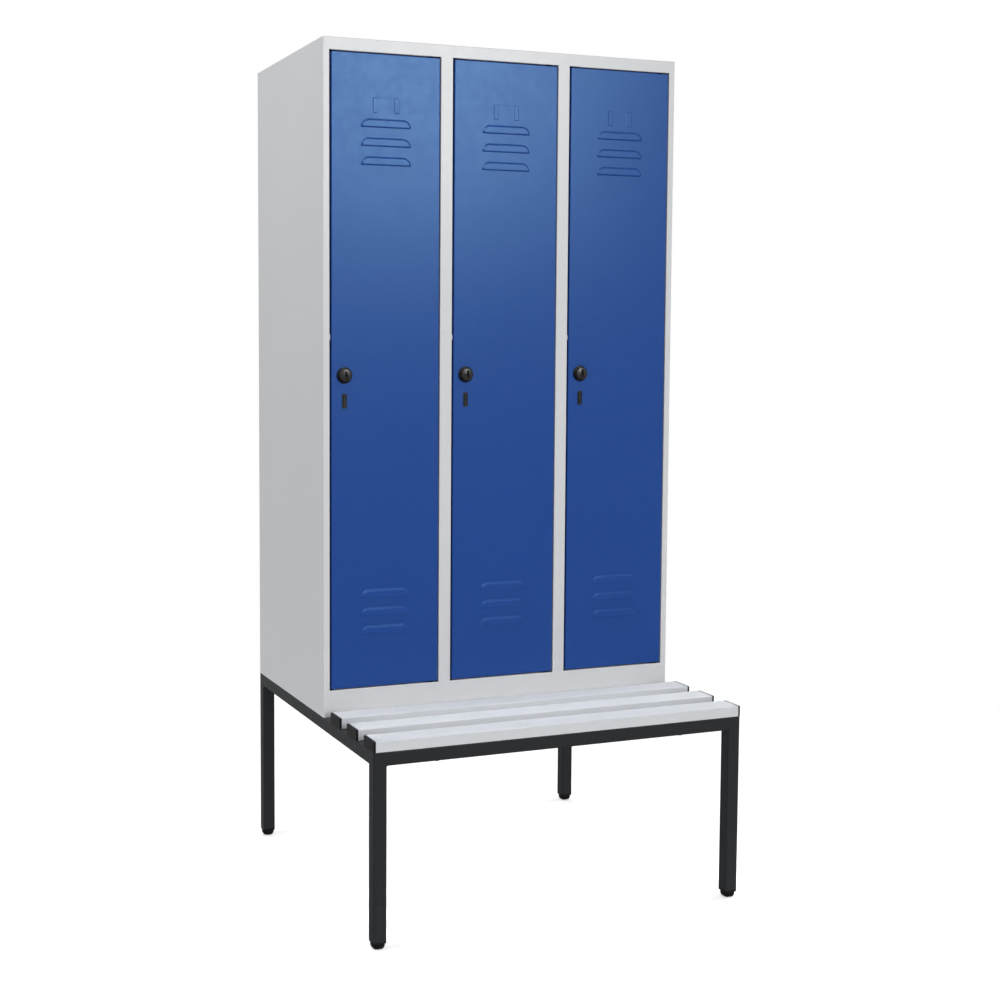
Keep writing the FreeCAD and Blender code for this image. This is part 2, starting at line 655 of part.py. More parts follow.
def make_pivots():
    """Top and bottom pivot of every door: a plate in the rail with a pin."""
    pivots = []
    for index in range(len(BAYS)):
        right = opening_right(index)
        x = pivot_x(index)
        y0 = FRONT + PIVOT_PLATE_SETBACK
        for level, way in ((OPENING_BOTTOM - SHEET, -1), (OPENING_TOP + SHEET, 1)):
            far = level + way * PIVOT_PLATE_THICK
            z0, z1 = sorted((level, far))
            plate = block(right - PIVOT_PLATE_LENGTH, right, y0, y0 + PIVOT_PLATE_DEPTH, z0, z1)
            pin = rod(PIN_RADIUS, (x, PIVOT_Y, far), (x, PIVOT_Y, level - way * (PIN_REACH + SHEET)))
            head = rod(PIN_HEAD_RADIUS, (x, PIVOT_Y, far), (x, PIVOT_Y, far + way * PIN_HEAD_HEIGHT))
            pivots.append(merge(plate, pin, head))
    nodes["hinge_pivots"] = Part.makeCompound(pivots)


def make_bushes(index):
    """Nylon bushes in the folded top and bottom edges of a door."""
    x = pivot_x(index)
    bushes = []
    for edge, plate, way in ((DOOR_BOTTOM, OPENING_BOTTOM - SHEET, -1), (DOOR_TOP, OPENING_TOP + SHEET, 1)):
        collar = rod(BUSH_COLLAR_RADIUS, (x, PIVOT_Y, edge), (x, PIVOT_Y, plate - way * BUSH_PLAY))
        sleeve = rod(BUSH_RADIUS, (x, PIVOT_Y, edge), (x, PIVOT_Y, edge - way * BUSH_LENGTH))
        bore_ends = ((x, PIVOT_Y, plate + way), (x, PIVOT_Y, edge - way * BUSH_LENGTH))
        bushes.append(merge(collar, sleeve).cut(rod(PIN_RADIUS + RUNNING_CLEARANCE, *bore_ends)))
    return Part.makeCompound(bushes)


def make_lock(index, bay):
    """Rosette, fixing nut, knob, keyhole core and latch cam of one door lock."""
    x, z = lock_x(index), LOCK_Z

    def disc(radius, y0, y1):
        return rod(radius, (x, y0, z), (x, y1, z))

    face = FRONT - ROSETTE_THICK
    barrel_end = FRONT + BARREL_LENGTH
    rosette = disc(ROSETTE_RADIUS, face, FRONT)
    rim = [edge for edge in rosette.Edges if abs(edge.CenterOfMass.y - face) < 0.01]
    rosette = rosette.makeChamfer(ROSETTE_BEVEL, rim)
    housing = merge(rosette, disc(BARREL_RADIUS, FRONT, barrel_end))
    bore = disc(SPINDLE_RADIUS + RUNNING_CLEARANCE, face - 1, barrel_end + 1)
    nodes[bay + "_lock_housing"] = housing.cut(bore)
    nut = hexagon(x, z, NUT_FLATS, DOOR_INSIDE, DOOR_INSIDE + NUT_THICK)
    nodes[bay + "_lock_nut"] = nut.cut(disc(BARREL_RADIUS, DOOR_INSIDE - 1, DOOR_INSIDE + NUT_THICK + 1))

    knob_back = face - KNOB_GAP
    knob_face = knob_back - KNOB_THICK
    dome_radius = (KNOB_RADIUS ** 2 + KNOB_DOME ** 2) / (2 * KNOB_DOME)
    dome = Part.makeSphere(dome_radius, V(x, knob_face + dome_radius, z))
    knob = disc(KNOB_RADIUS, knob_face, knob_back).common(dome)
    dome_foot = knob_face + KNOB_DOME
    edge_ring = [edge for edge in knob.Edges if abs(edge.CenterOfMass.y - dome_foot) < 0.01]
    knob = knob.makeFillet(KNOB_EDGE, edge_ring)
    floor = knob_face + KNOB_RECESS_DEPTH
    recess = upright_slot(x, z, KNOB_RECESS_WIDTH, KNOB_RECESS_HEIGHT, knob_face - 1, floor)
    core = disc(CORE_RADIUS, floor, floor + CORE_LENGTH)
    knob = knob.cut([recess, core])
    cam_back = CAM_FRONT + CAM_THICK
    spindle = [disc(SPINDLE_RADIUS, knob_back, CAM_FRONT), disc(SPINDLE_END_RADIUS, CAM_FRONT, cam_back),
               disc(SPINDLE_HEAD_RADIUS, cam_back, cam_back + SPINDLE_HEAD_THICK)]
    nodes[bay + "_lock_knob"] = merge(knob, *spindle)
    keyhole = upright_slot(x, z, KEYHOLE_WIDTH, KEYHOLE_HEIGHT, floor - 1, floor + KEYHOLE_DEPTH)
    nodes[bay + "_lock_core"] = core.cut(keyhole)

    reach = CAM_LENGTH - CAM_WIDTH / 2
    cam = upright_slot(x, z - reach / 2, CAM_WIDTH, reach + CAM_WIDTH, CAM_FRONT, cam_back)
    nodes[bay + "_lock_cam"] = cam.cut(disc(SPINDLE_END_RADIUS, CAM_FRONT - 1, cam_back + 1))


def make_slot_plug(index):
    """Blanking plug: a flanged strip with a groove down either side of its face."""
    x, z = lock_x(index), LOCK_Z - PLUG_DROP
    face = FRONT - PLUG_PROUD
    flange = rounded_plate(x, z, PLUG_WIDTH + 2 * PLUG_FLANGE, PLUG_HEIGHT + 2 * PLUG_FLANGE,
                           PLUG_CORNER + PLUG_FLANGE, face, FRONT)
    body = rounded_plate(x, z, PLUG_WIDTH, PLUG_HEIGHT, PLUG_CORNER, FRONT, FRONT + PLUG_DEPTH)
    grooves = [upright_slot(x + step, z, PLUG_GROOVE_WIDTH, PLUG_GROOVE_HEIGHT,
                            face - 1, face + PLUG_GROOVE_DEPTH)
               for step in (-PLUG_GROOVE_OFFSET, PLUG_GROOVE_OFFSET)]
    return merge(flange, body).cut(grooves)


def buffer_disc(index, radius, start, end):
    """Round length of a door buffer, from one distance off the stile's lip to another."""
    x = opening_left(index)
    y = FRONT + BUFFER_SETBACK + BUFFER_RADIUS
    z = LOCK_Z + BUFFER_RISE
    return rod(radius, (x + start, y, z), (x + end, y, z))


def buffer_stem(index):
    """Stem of a door buffer, through the lip of the stile."""
    return buffer_disc(index, BUFFER_STEM_RADIUS, -BUFFER_STEM, 0)


def make_buffers():
    """Small round pads on the lock side of each door opening."""
    buffers = []
    for index in range(len(BAYS)):
        pad = buffer_disc(index, BUFFER_RADIUS, 0, BUFFER_THICK)
        face = opening_left(index) + BUFFER_THICK
        rim = [edge for edge in pad.Edges if abs(edge.CenterOfMass.x - face) < 0.01]
        buffers.append(merge(pad.makeFillet(BUFFER_EDGE, rim), buffer_stem(index)))
    nodes["door_buffers"] = Part.makeCompound(buffers)


def make_doors():
    """Everything that hangs on the three doors, and what they hang on."""
    make_pivots()
    make_buffers()
    for index, bay in enumerate(BAYS):
        nodes[bay + "_door_panel"] = make_door_panel(index)
        nodes[bay + "_door_stiffener"] = make_stiffener(index)
        nodes[bay + "_hinge_bushes"] = make_bushes(index)
        nodes[bay + "_slot_plug"] = make_slot_plug(index)
        make_lock(index, bay)


def main():
    make_underframe()
    make_bench()
    make_walls()
    make_partitions()
    for index, bay in enumerate(BAYS):
        make_inside(index, bay)
    make_doors()
    os.makedirs("parts", exist_ok=True)
    for name, shape in nodes.items():
        shape.exportStep("parts/" + name + ".step")


main()
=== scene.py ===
import math
from collections import namedtuple

import bmesh
import bpy
from mathutils import Matrix, Vector
from mathutils.geometry import delaunay_2d_cdt


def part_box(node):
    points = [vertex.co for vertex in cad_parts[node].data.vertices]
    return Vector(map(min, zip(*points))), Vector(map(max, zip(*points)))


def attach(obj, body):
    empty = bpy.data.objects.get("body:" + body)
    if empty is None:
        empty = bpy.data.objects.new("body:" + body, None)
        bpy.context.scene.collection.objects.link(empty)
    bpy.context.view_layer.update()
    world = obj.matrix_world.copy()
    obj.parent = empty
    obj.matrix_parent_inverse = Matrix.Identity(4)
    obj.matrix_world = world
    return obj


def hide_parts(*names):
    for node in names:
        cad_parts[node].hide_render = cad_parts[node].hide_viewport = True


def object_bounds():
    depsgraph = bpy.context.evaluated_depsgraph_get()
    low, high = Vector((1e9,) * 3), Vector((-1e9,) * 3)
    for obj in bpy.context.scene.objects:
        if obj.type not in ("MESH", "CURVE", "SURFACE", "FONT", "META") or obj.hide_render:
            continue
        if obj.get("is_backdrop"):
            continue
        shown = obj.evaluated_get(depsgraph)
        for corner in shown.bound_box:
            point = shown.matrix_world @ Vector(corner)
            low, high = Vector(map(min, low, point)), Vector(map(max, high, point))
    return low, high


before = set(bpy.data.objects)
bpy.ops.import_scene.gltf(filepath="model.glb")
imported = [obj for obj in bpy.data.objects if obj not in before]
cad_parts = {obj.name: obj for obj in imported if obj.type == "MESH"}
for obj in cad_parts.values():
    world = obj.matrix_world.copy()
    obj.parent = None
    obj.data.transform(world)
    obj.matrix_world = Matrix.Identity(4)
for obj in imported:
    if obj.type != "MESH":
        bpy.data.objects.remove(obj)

bl_info = {
    "name": "Locker with bench",
    "version": (1, 0, 0),
    "blender": (4, 5, 0),
    "location": "View3D > Sidebar > Locker",
    "description": "Dresses a three-door clothes locker on a bench underframe, around its packed frame",
    "category": "Object",
}

# Metres throughout. The doors face -Y, +Z is up, and the origin is on the floor below the middle.
CAD_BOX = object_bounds()
BAYS = ("left", "middle", "right")
CARCASS = "carcass"

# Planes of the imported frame
WALL_LOW, WALL_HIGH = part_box("left_side_wall")
FRONT = WALL_LOW.y
BACK = WALL_HIGH.y
BODY_BOTTOM = WALL_LOW.z
WALL_TOP = WALL_HIGH.z
BACK_WALL_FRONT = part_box("back_wall")[0].y
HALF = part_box("roof")[1].x
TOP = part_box("roof")[1].z
OPENING_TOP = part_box("roof")[0].z
OPENING_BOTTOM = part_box("floor_pan")[1].z
FLOOR_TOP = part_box("left_partition")[0].z
RAIL_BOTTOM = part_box("front_rail")[0].z
TUBE = BODY_BOTTOM - RAIL_BOTTOM
BAY = 2 * HALF / len(BAYS)

# Turns that lay an outline drawn in X and Y across its run
QUARTER = math.pi / 2
TURNS = {"x": (QUARTER, 0.0, QUARTER), "y": (-QUARTER, -QUARTER, 0.0), "z": (0.0, 0.0, 0.0)}

# Distances within which points, slivers and crossing lines count as one
MERGE = 2e-6
SHEET_MERGE = 5e-6
SAME_POINT = 1e-6
SLIVER = 1e-7
CROSSING = 1e-8

# Facets of a weld bead's ripples
BEAD_SEGMENTS = 12
BEAD_RINGS = 8

# Smooth shading: the angle of edges that stay sharp, and how much more large faces count
SHARP_EDGE = math.radians(38)
FLAT_WEIGHT = 80

# Noise of the shaders, and the part of its range that turns into gloss
NOISE_ROUGHNESS = 0.55
NOISE_LOW = 0.3
NOISE_HIGH = 0.7

# Sockets of a Mix node: two numbers in, two colours in, one colour out
MIX_NUMBERS = (2, 3)
MIX_COLOURS = (6, 7)
MIXED_COLOUR = 2

# Grain of the finishes: how tone and gloss wander, and how the surface is raised
Noise = namedtuple("Noise", "scale detail stretch", defaults=(2.0, (1.0, 1.0, 1.0)))
Grain = namedtuple("Grain", "tone drift gloss smoother rougher relief strength depth metal", defaults=(0.0,))
DRAW_LINES = Noise(1.0, 2.0, (1.2, 700.0, 700.0))
SPANGLE = Noise(120.0, 4.0)
POWDER_COAT = Grain(tone=Noise(5.0), drift=0.025, gloss=Noise(60.0), smoother=0.03, rougher=0.03,
                    relief=Noise(700.0, 3.0), strength=0.06, depth=0.0004)
EXTRUSION = Grain(tone=Noise(7.0), drift=0.02, gloss=DRAW_LINES, smoother=0.02, rougher=0.02,
                  relief=DRAW_LINES, strength=0.03, depth=0.0002)
MOULDING = Grain(tone=Noise(40.0), drift=0.08, gloss=Noise(40.0), smoother=0.05, rougher=0.05,
                 relief=Noise(1600.0), strength=0.15, depth=0.0002)
PLATING = Grain(tone=SPANGLE, drift=0.1, gloss=SPANGLE, smoother=0.08, rougher=0.1,
                relief=Noise(1.0, 2.0, (900.0, 60.0, 900.0)), strength=0.08, depth=0.0002, metal=1.0)

# Finishes: where they are, their slot, material, grain, colour, roughness, specular level and gloss tint
Finish = namedtuple("Finish", "what slot material grain tone roughness specular tint",
                    defaults=((1.0, 1.0, 1.0),))
FINISHES = {
    "door_blue": Finish("doors", "door_blue", "door_blue_paint", POWDER_COAT, (0.0105, 0.048, 0.245),
                        0.33, 0.5, (0.45, 0.8, 1.0)),
    "body_grey": Finish("body", "body_grey", "body_grey_paint", POWDER_COAT, (0.59, 0.6, 0.615), 0.33, 0.4),
    "frame_black": Finish("underframe", "frame_black", "frame_black_paint", POWDER_COAT,
                          (0.0145, 0.0165, 0.019), 0.42, 0.27),
    "slat_grey": Finish("bench slats", "slat_grey", "slat_grey_plastic", EXTRUSION, (0.53, 0.545, 0.565),
                        0.55, 0.35),
    "black_plastic": Finish("feet, end caps and rosettes", "black_plastic", "black_moulding", MOULDING,
                            (0.005, 0.005, 0.0055), 0.4, 0.2),
    "knob_plastic": Finish("lock knobs and plugs", "black_plastic", "knob_moulding", MOULDING,
                           (0.012, 0.012, 0.012), 0.3, 0.5),
    "grey_plastic": Finish("door buffers", "grey_plastic", "grey_moulding", MOULDING, (0.53, 0.54, 0.555),
                           0.5, 0.3),
    "zinc_steel": Finish("plated steel hardware", "zinc_steel", "zinc_plate", PLATING, (0.56, 0.57, 0.58),
                         0.32, 0.5),
    "nylon": Finish("hinge bushes", "nylon", "nylon_moulding", MOULDING, (0.02, 0.02, 0.021), 0.5, 0.2),
}

# Lights: what they are, where they stand, their size and power, what they face and which rays miss them
Light = namedtuple("Light", "what place size watts aim hidden", defaults=(None,))
LIGHTS = {
    "side": Light("soft light on the left", (-2.5, 0.2, 2.9), (1.4, 1.4), 31.0, "body"),
    "front": Light("soft light before the doors", (-0.1, -4.2, 2.0), (2.0, 2.0), 86.0, "doors", "glossy"),
    "right": Light("soft light on the right", (2.6, 0.3, 2.4), (1.4, 1.4), 24.0, "body", "glossy"),
    "rear": Light("soft light behind the locker", (0.2, 3.3, 2.4), (1.8, 1.4), 27.0, "body", "glossy"),
    "bench": Light("narrow light over the bench", (0.0, -0.29, 2.6), (1.4, 0.3), 1.05, "floor"),
    "key": Light("soft light that the doors mirror", (1.05, -3.2, 2.6), (1.5, 1.5), 63.0, "doors", "diffuse"),
    "glint": Light("strip light that the pressings mirror", (-0.5, -2.3, 4.0), (4.2, 1.6), 24.0, "floor",
                   "diffuse"),
    "spark": Light("small light that corners mirror", (-1.6, -1.8, 3.8), (0.8, 0.8), 28.0, "doors",
                   "diffuse"),
}


def setting(kind, **options):
    """Maker of settings of one kind that a user may change."""
    def make(name, default, description):
        return kind(name=name, default=default, description=description, **options)
    return make


number = setting(bpy.props.FloatProperty)
length = setting(bpy.props.FloatProperty, unit="LENGTH", precision=4)
share = setting(bpy.props.FloatProperty, subtype="FACTOR", min=0.0, max=1.0)
angle = setting(bpy.props.FloatProperty, subtype="ANGLE", unit="ROTATION")
power = setting(bpy.props.FloatProperty, unit="POWER", min=0.0)
focal = setting(bpy.props.FloatProperty, unit="CAMERA")
colour = setting(bpy.props.FloatVectorProperty, subtype="COLOR", size=3, min=0.0, max=1.0)
position = setting(bpy.props.FloatVectorProperty, subtype="TRANSLATION", unit="LENGTH")
area = setting(bpy.props.FloatVectorProperty, size=2, unit="LENGTH")
direction = setting(bpy.props.FloatVectorProperty, subtype="DIRECTION")


def finish_settings():
    """Settings of every finish: its colour, the tint of its reflections, its roughness and specular level."""
    made = {}
    for name, given in FINISHES.items():
        title = name.replace("_", " ").capitalize()
        owner = " of the " + given.what
        made[name] = colour(title, given.tone, "Colour" + owner)
        made[name + "_tint"] = colour(title + " tint", given.tint, "Tint of the reflections" + owner)
        made[name + "_roughness"] = share(title + " roughness", given.roughness, "Roughness" + owner)
        made[name + "_specular"] = share(title + " specular", given.specular, "Specular level" + owner)
    return made


def light_settings():
    """Settings of every light: its place, size and power."""
    made = {}
    for name, given in LIGHTS.items():
        title = name.capitalize()
        made[name + "_place"] = position(title + " place", given.place, "Where the %s is" % given.what)
        made[name + "_size"] = area(title + " size", given.size, "Size of the " + given.what)
        made[name + "_power"] = power(title + " power", given.watts, "Power of the " + given.what)
    return made


class LockerSizes(bpy.types.PropertyGroup):
    """Sizes of the folded sheet, the pressings and the small parts."""
    sheet: length("Body sheet", 0.0008, "Thickness of the body's steel sheet")
    bend: length("Bend", 0.001, "Inner radius of the folds")
    stile: length("Stile", 0.015, "Width of a stile beside a door opening")
    lip: length("Lip", 0.02, "Depth of the folded lips round the door openings")
    hem: length("Hem", 0.008, "Width of the last fold of a stile")
    rail_hem: length("Rail hem", 0.01, "Height of the last fold of the top rail")
    flange: length("Flange", 0.02, "Width of the side walls' rear flange")
    seam_cover: length("Seam cover", 0.0017, "How far a rail or stile laps a fold beside it")
    notch_height: length("Notch height", 0.004, "Height of the cut-outs in the lips")
    notch_hinge: length("Hinge notch", 0.034, "Width of a lip's cut-out beside the hinge")
    notch_lock: length("Lock notch", 0.017, "Width of a lip's cut-out on the lock side")
    shelf_front: length("Shelf front", 0.02, "Height of a shelf's front fold")
    shelf_side: length("Shelf side", 0.015, "Height of a shelf's side folds")
    tube_corner: length("Tube corner", 0.0025, "Outer radius of the square tube")
    weld: length("Weld bead", 0.0019, "Radius of a weld bead")
    foot_collar: length("Foot collar", 0.004, "Height of the feet's collars below the tube")
    foot_step: length("Foot step", 0.0005, "How far the feet's rounded ends step in below their collars")
    foot_corner: length("Foot corner", 0.0105, "Radius of the feet's upright corners")
    foot_round: length("Foot rounding", 0.0095, "Rounding of the feet's lower edges")
    slat_round: length("Slat rounding", 0.002, "Rounding of the slats' upper edges")
    slat_lower_round: length("Slat lower rounding", 0.001, "Rounding of the slats' lower edges")
    slat_width: length("Slat width", 0.06, "Width of a bench slat")
    slat_pitch: length("Slat pitch", 0.104, "Distance from slat to slat")
    cap: length("End cap", 0.005, "Thickness of a slat's end cap")
    door_sheet: length("Door sheet", 0.001, "Thickness of the doors' steel sheet")
    door_edge: length("Door edge", 0.002, "Outer radius of the doors' folded edges")
    door_corner: length("Door corner", 0.0027, "Radius of the doors' corners")
    door_return: length("Door return", 0.012, "Width of the doors' rear folds")
    louvre_width: length("Louvre width", 0.122, "Width of a pressed louvre")
    louvre_height: length("Louvre height", 0.0195, "Height of a pressed louvre")
    louvre_depth: length("Louvre depth", 0.0032, "How far a louvre stands proud")
    louvre_pitch: length("Louvre pitch", 0.042, "Distance from louvre to louvre")
    louvre_lower: length("Lower louvres", 0.611, "Height of the lowest louvre of the lower group")
    louvre_upper: length("Upper louvres", 1.677, "Height of the lowest louvre of the upper group")
    label_width: length("Label holder width", 0.064, "Width over both tabs of a label holder")
    label_height: length("Label holder height", 0.0345, "Height of a label holder's tabs")
    label_tab: length("Label tab", 0.011, "Width of one tab of a label holder")
    label_depth: length("Label depth", 0.0009, "How far a label holder stands proud")
    label_recess: length("Label recess", 0.00015, "Depth of the field between a label holder's tabs")
    label_bottom: length("Label bottom", 1.793, "Height of the lower end of the label holders")


class LockerFinish(bpy.types.PropertyGroup):
    """Colours and gloss of the locker's finishes."""
    __annotations__ = finish_settings()


class LockerStudio(bpy.types.PropertyGroup):
    """Camera, lights and floor."""
    camera_place: position("Camera place", (-1.562, -3.2677, 1.283), "Where the camera stands")
    camera_pan: angle("Camera pan", math.radians(20.165), "Turn of the camera to its right")
    camera_tilt: angle("Camera tilt", math.radians(-4.169), "Tilt of the camera above the horizon")
    camera_lens: focal("Lens", 53.92, "Focal length in millimetres")
    camera_shift_x: number("Shift X", 0.154, "Sideways shift of the picture")
    camera_shift_y: number("Shift Y", -0.05, "Upward shift of the picture")
    bench_spread: angle("Bench spread", math.radians(16.0), "How widely the light over the bench spreads")
    sky_strength: number("Sky strength", 0.44, "Strength of the even light all round")
    gloss_way: direction("Mirrored sky", (0.248, 0.0, 0.968), "Way to the brightest part of the mirrored sky")
    gloss_from: number("Mirrored sky from", -0.45, "Share along that way where the mirrored sky is darkest")
    gloss_to: number("Mirrored sky to", -0.3, "Share along that way where the mirrored sky is brightest")
    gloss_low: number("Mirrored sky low", 0.1, "Strength of the mirrored sky at its darkest")
    gloss_high: number("Mirrored sky high", 0.46, "Strength of the mirrored sky at its brightest")
    floor_radius: length("Floor radius", 2.6, "Radius of the pale floor")
    floor_fade: length("Floor fade", 0.7, "Distance from the middle where the floor begins to fade out")
    floor_paint: colour("Floor", (0.9, 0.9, 0.9), "Pale floor")
    floor_glow: share("Floor glow", 0.42, "Light of its own that the pale floor gives")
    __annotations__.update(light_settings())


# Meshes

def evaluated_mesh(obj):
    """Plain mesh of an object with its modifiers applied."""
    graph = bpy.context.evaluated_depsgraph_get()
    return bpy.data.meshes.new_from_object(obj.evaluated_get(graph), preserve_all_data_layers=True,
                                           depsgraph=graph)


def workpiece(mesh):
    """Object on the bench: it carries modifiers while a mesh is being made."""
    obj = bpy.data.objects.new("workpiece", mesh)
    bpy.context.scene.collection.objects.link(obj)
    return obj


def modified(mesh, kind, **settings):
    """The mesh after one modifier."""
    obj = workpiece(mesh)
    modifier = obj.modifiers.new(kind.lower(), kind)
    for key, value in settings.items():
        setattr(modifier, key, value)
    result = evaluated_mesh(obj)
    bpy.data.objects.remove(obj)
    return result


def opened(*meshes):
    """A bmesh that holds meshes."""
    shape = bmesh.new()
    for mesh in meshes:
        shape.from_mesh(mesh)
    return shape


def ended(shape):
    """Ends a bmesh as a mesh."""
    mesh = bpy.data.meshes.new("shape")
    shape.to_mesh(mesh)
    shape.free()
    return mesh


def merged(shape):
    """Ends a bmesh as a mesh, with doubled points merged."""
    bmesh.ops.remove_doubles(shape, verts=shape.verts, dist=MERGE)
    bmesh.ops.dissolve_degenerate(shape, edges=shape.edges, dist=SLIVER)
    return ended(shape)


def solid(shape):
    """Ends a closed bmesh as a mesh whose faces point outwards."""
    bmesh.ops.remove_doubles(shape, verts=shape.verts, dist=MERGE)
    bmesh.ops.recalc_face_normals(shape, faces=shape.faces)
    return merged(shape)


def joined(*meshes):
    """One mesh out of several."""
    return ended(opened(*meshes))


def loft(shape, rings, closed=True, caps=()):
    """Skin between rings that have the same number of points, with faces over some of the rings."""
    rows = [[shape.verts.new(point) for point in ring] for ring in rings]
    for lower, upper in zip(rows, rows[1:]):
        for index in range(len(lower) if closed else len(lower) - 1):
            after = (index + 1) % len(lower)
            shape.faces.new((lower[index], lower[after], upper[after], upper[index]))
    for index in caps:
        shape.faces.new(rows[index])
    return rows


def box_mesh(boxes):
    """Boxes given by their lowest and highest corners, as one mesh."""
    shape = bmesh.new()
    for low, high in boxes:
        size = Vector(high) - Vector(low)
        centre = (Vector(high) + Vector(low)) / 2
        matrix = Matrix.Translation(centre) @ Matrix.Diagonal((*size, 1.0))
        bmesh.ops.create_cube(shape, size=1.0, matrix=matrix)
    return merged(shape)


def cut_boxes(mesh, boxes):
    """The mesh with boxes taken out of it."""
    tool = workpiece(box_mesh(boxes))
    result = modified(mesh, "BOOLEAN", operation="DIFFERENCE", solver="EXACT", object=tool)
    bpy.data.objects.remove(tool)
    return result


def add_piece(name, mesh, finish, body, *nodes):
    """Puts a finished mesh in the scene as a piece that rides on a body and stands for CAD nodes."""
    mesh.shade_smooth()
    mesh.set_sharp_from_angle(angle=SHARP_EDGE)
    mesh = modified(mesh, "WEIGHTED_NORMAL", keep_sharp=True, weight=FLAT_WEIGHT)
    mesh.name = name
    mesh.materials.clear()
    mesh.materials.append(material_of(finish))
    piece = bpy.data.objects.new(name, mesh)
    bpy.context.scene.collection.objects.link(piece)
    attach(piece, body)
    if nodes:
        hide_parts(*nodes)


def dress_node(name, finish):
    """Gives a CAD node that stays in view its finish."""
    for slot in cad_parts[name].material_slots:
        slot.material = material_of(finish)


def middle(node):
    """X and Z of the middle of a node's box."""
    low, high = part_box(node)
    return (low.x + high.x) / 2, (low.z + high.z) / 2


# Outlines

def offset_line(points, distance):
    """Corners of a line of straight runs moved to its left by a distance."""
    normals = []
    for (u0, v0), (u1, v1) in zip(points, points[1:]):
        run = math.hypot(u1 - u0, v1 - v0)
        normals.append(((v0 - v1) / run, (u1 - u0) / run))
    result = []
    for index, (u, v) in enumerate(points):
        before = normals[max(index - 1, 0)]
        after = normals[min(index, len(normals) - 1)]
        scale = distance / (1 + before[0] * after[0] + before[1] * after[1])
        result.append((u + scale * (before[0] + after[0]), v + scale * (before[1] + after[1])))
    return result


def sheet_outline(points, sizes, side=1):
    """Closed outline of a body sheet folded along a line, as corners with their rounding radius."""
    tight = sizes.bend
    wide = sizes.bend + sizes.sheet
    radii = [(0.0, 0.0)]
    for (u0, v0), (u1, v1), (u2, v2) in zip(points, points[1:], points[2:]):
        left_turn = (u1 - u0) * (v2 - v1) - (v1 - v0) * (u2 - u1) > 0
        radii.append((wide, tight) if left_turn == (side > 0) else (tight, wide))
    radii.append((0.0, 0.0))
    inner = offset_line(points, side * sizes.sheet)
    corners = [(u, v, radius) for (u, v), (radius, other) in zip(points, radii)]
    corners += reversed([(u, v, radius) for (u, v), (other, radius) in zip(inner, radii)])
    return corners


def arc(x, z, radius, start, sweep, steps):
    """Points along an arc, from a start angle over a sweep, both in degrees."""
    turns = [math.radians(start + sweep * step / steps) for step in range(steps + 1)]
    return [(x + radius * math.cos(turn), z + radius * math.sin(turn)) for turn in turns]


def turn_steps(steps, end=QUARTER):
    """Sine, and 1 less the cosine, at each step of a turn."""
    turns = [end * step / steps for step in range(steps + 1)]
    return [(math.sin(turn), 1 - math.cos(turn)) for turn in turns]


def rounded_loop(x0, x1, z0, z1, radius, steps=4):
    """Points of a rounded rectangle."""
    corners = ((x0 + radius, z0 + radius, 180), (x1 - radius, z0 + radius, 270),
               (x1 - radius, z1 - radius, 0), (x0 + radius, z1 - radius, 90))
    return [point for x, z, start in corners for point in arc(x, z, radius, start, 90, steps)]


def inset_loop(low, high, inset, radius):
    """Points of a rounded rectangle inside the front of a box."""
    return rounded_loop(low.x + inset, high.x - inset, low.z + inset, high.z - inset, radius)


def upright_loop(x, z, half, reach, steps=12):
    """Points of a tall round-ended outline, from its half width and half height."""
    return arc(x, z - reach + half, half, 180, 180, steps) + arc(x, z + reach - half, half, 0, 180, steps)


def circle(x, z, radius, steps=64):
    """Points of a circle."""
    return arc(x, z, radius, 0, 360, steps)[:-1]


def at_depth(points, y):
    """Points of a plane that faces the front, at their depth."""
    return [(x, y, z) for x, z in points]


def at_height(points, z):
    """Points of a level plane, at their height."""
    return [(x, y, z) for x, y in points]


def encloses(loop, point):
    """Whether a loop goes round a point."""
    crossings = 0
    for (x0, z0), (x1, z1) in zip(loop, loop[1:] + loop[:1]):
        if (z0 > point.y) != (z1 > point.y) and point.x < x0 + (x1 - x0) * (point.y - z0) / (z1 - z0):
            crossings += 1
    return crossings % 2 == 1


def flat_face(shape, loops, y):
    """Flat face at a depth, inside the first loop and outside the others."""
    points = []
    edges = []
    for loop in loops:
        start = len(points)
        points += [Vector(point) for point in loop]
        edges += [(start + index, start + (index + 1) % len(loop)) for index in range(len(loop))]
    inside = 1
    made = delaunay_2d_cdt(points, edges, [], inside, CROSSING)
    places = made[0]
    corners = [shape.verts.new((place.x, y, place.y)) for place in places]
    for face in made[2]:
        centre = sum((places[index] for index in face), Vector((0.0, 0.0))) / len(face)
        if not any(encloses(loop, centre) for loop in loops[1:]):
            shape.faces.new([corners[index] for index in face])


# Node trees

def add_node(tree, kind, sockets=None, output=0, **options):
    """Adds a node, sets its options, links or fills its sockets and returns one of its outputs."""
    node = tree.nodes.new(kind)
    for key, value in options.items():
        setattr(node, key, value)
    for key, value in (sockets or {}).items():
        if isinstance(value, bpy.types.NodeSocket):
            tree.links.new(value, node.inputs[key])
        elif isinstance(value, list):
            for source in value:
                tree.links.new(source, node.inputs[key])
        else:
            node.inputs[key].default_value = value
    return node.outputs[output]


def socket_type(value):
    """Type of the socket that takes a value."""
    kinds = {int: "Int", float: "Float", bpy.types.Object: "Object", bpy.types.Material: "Material"}
    return "NodeSocket" + kinds.get(type(value), "Vector")


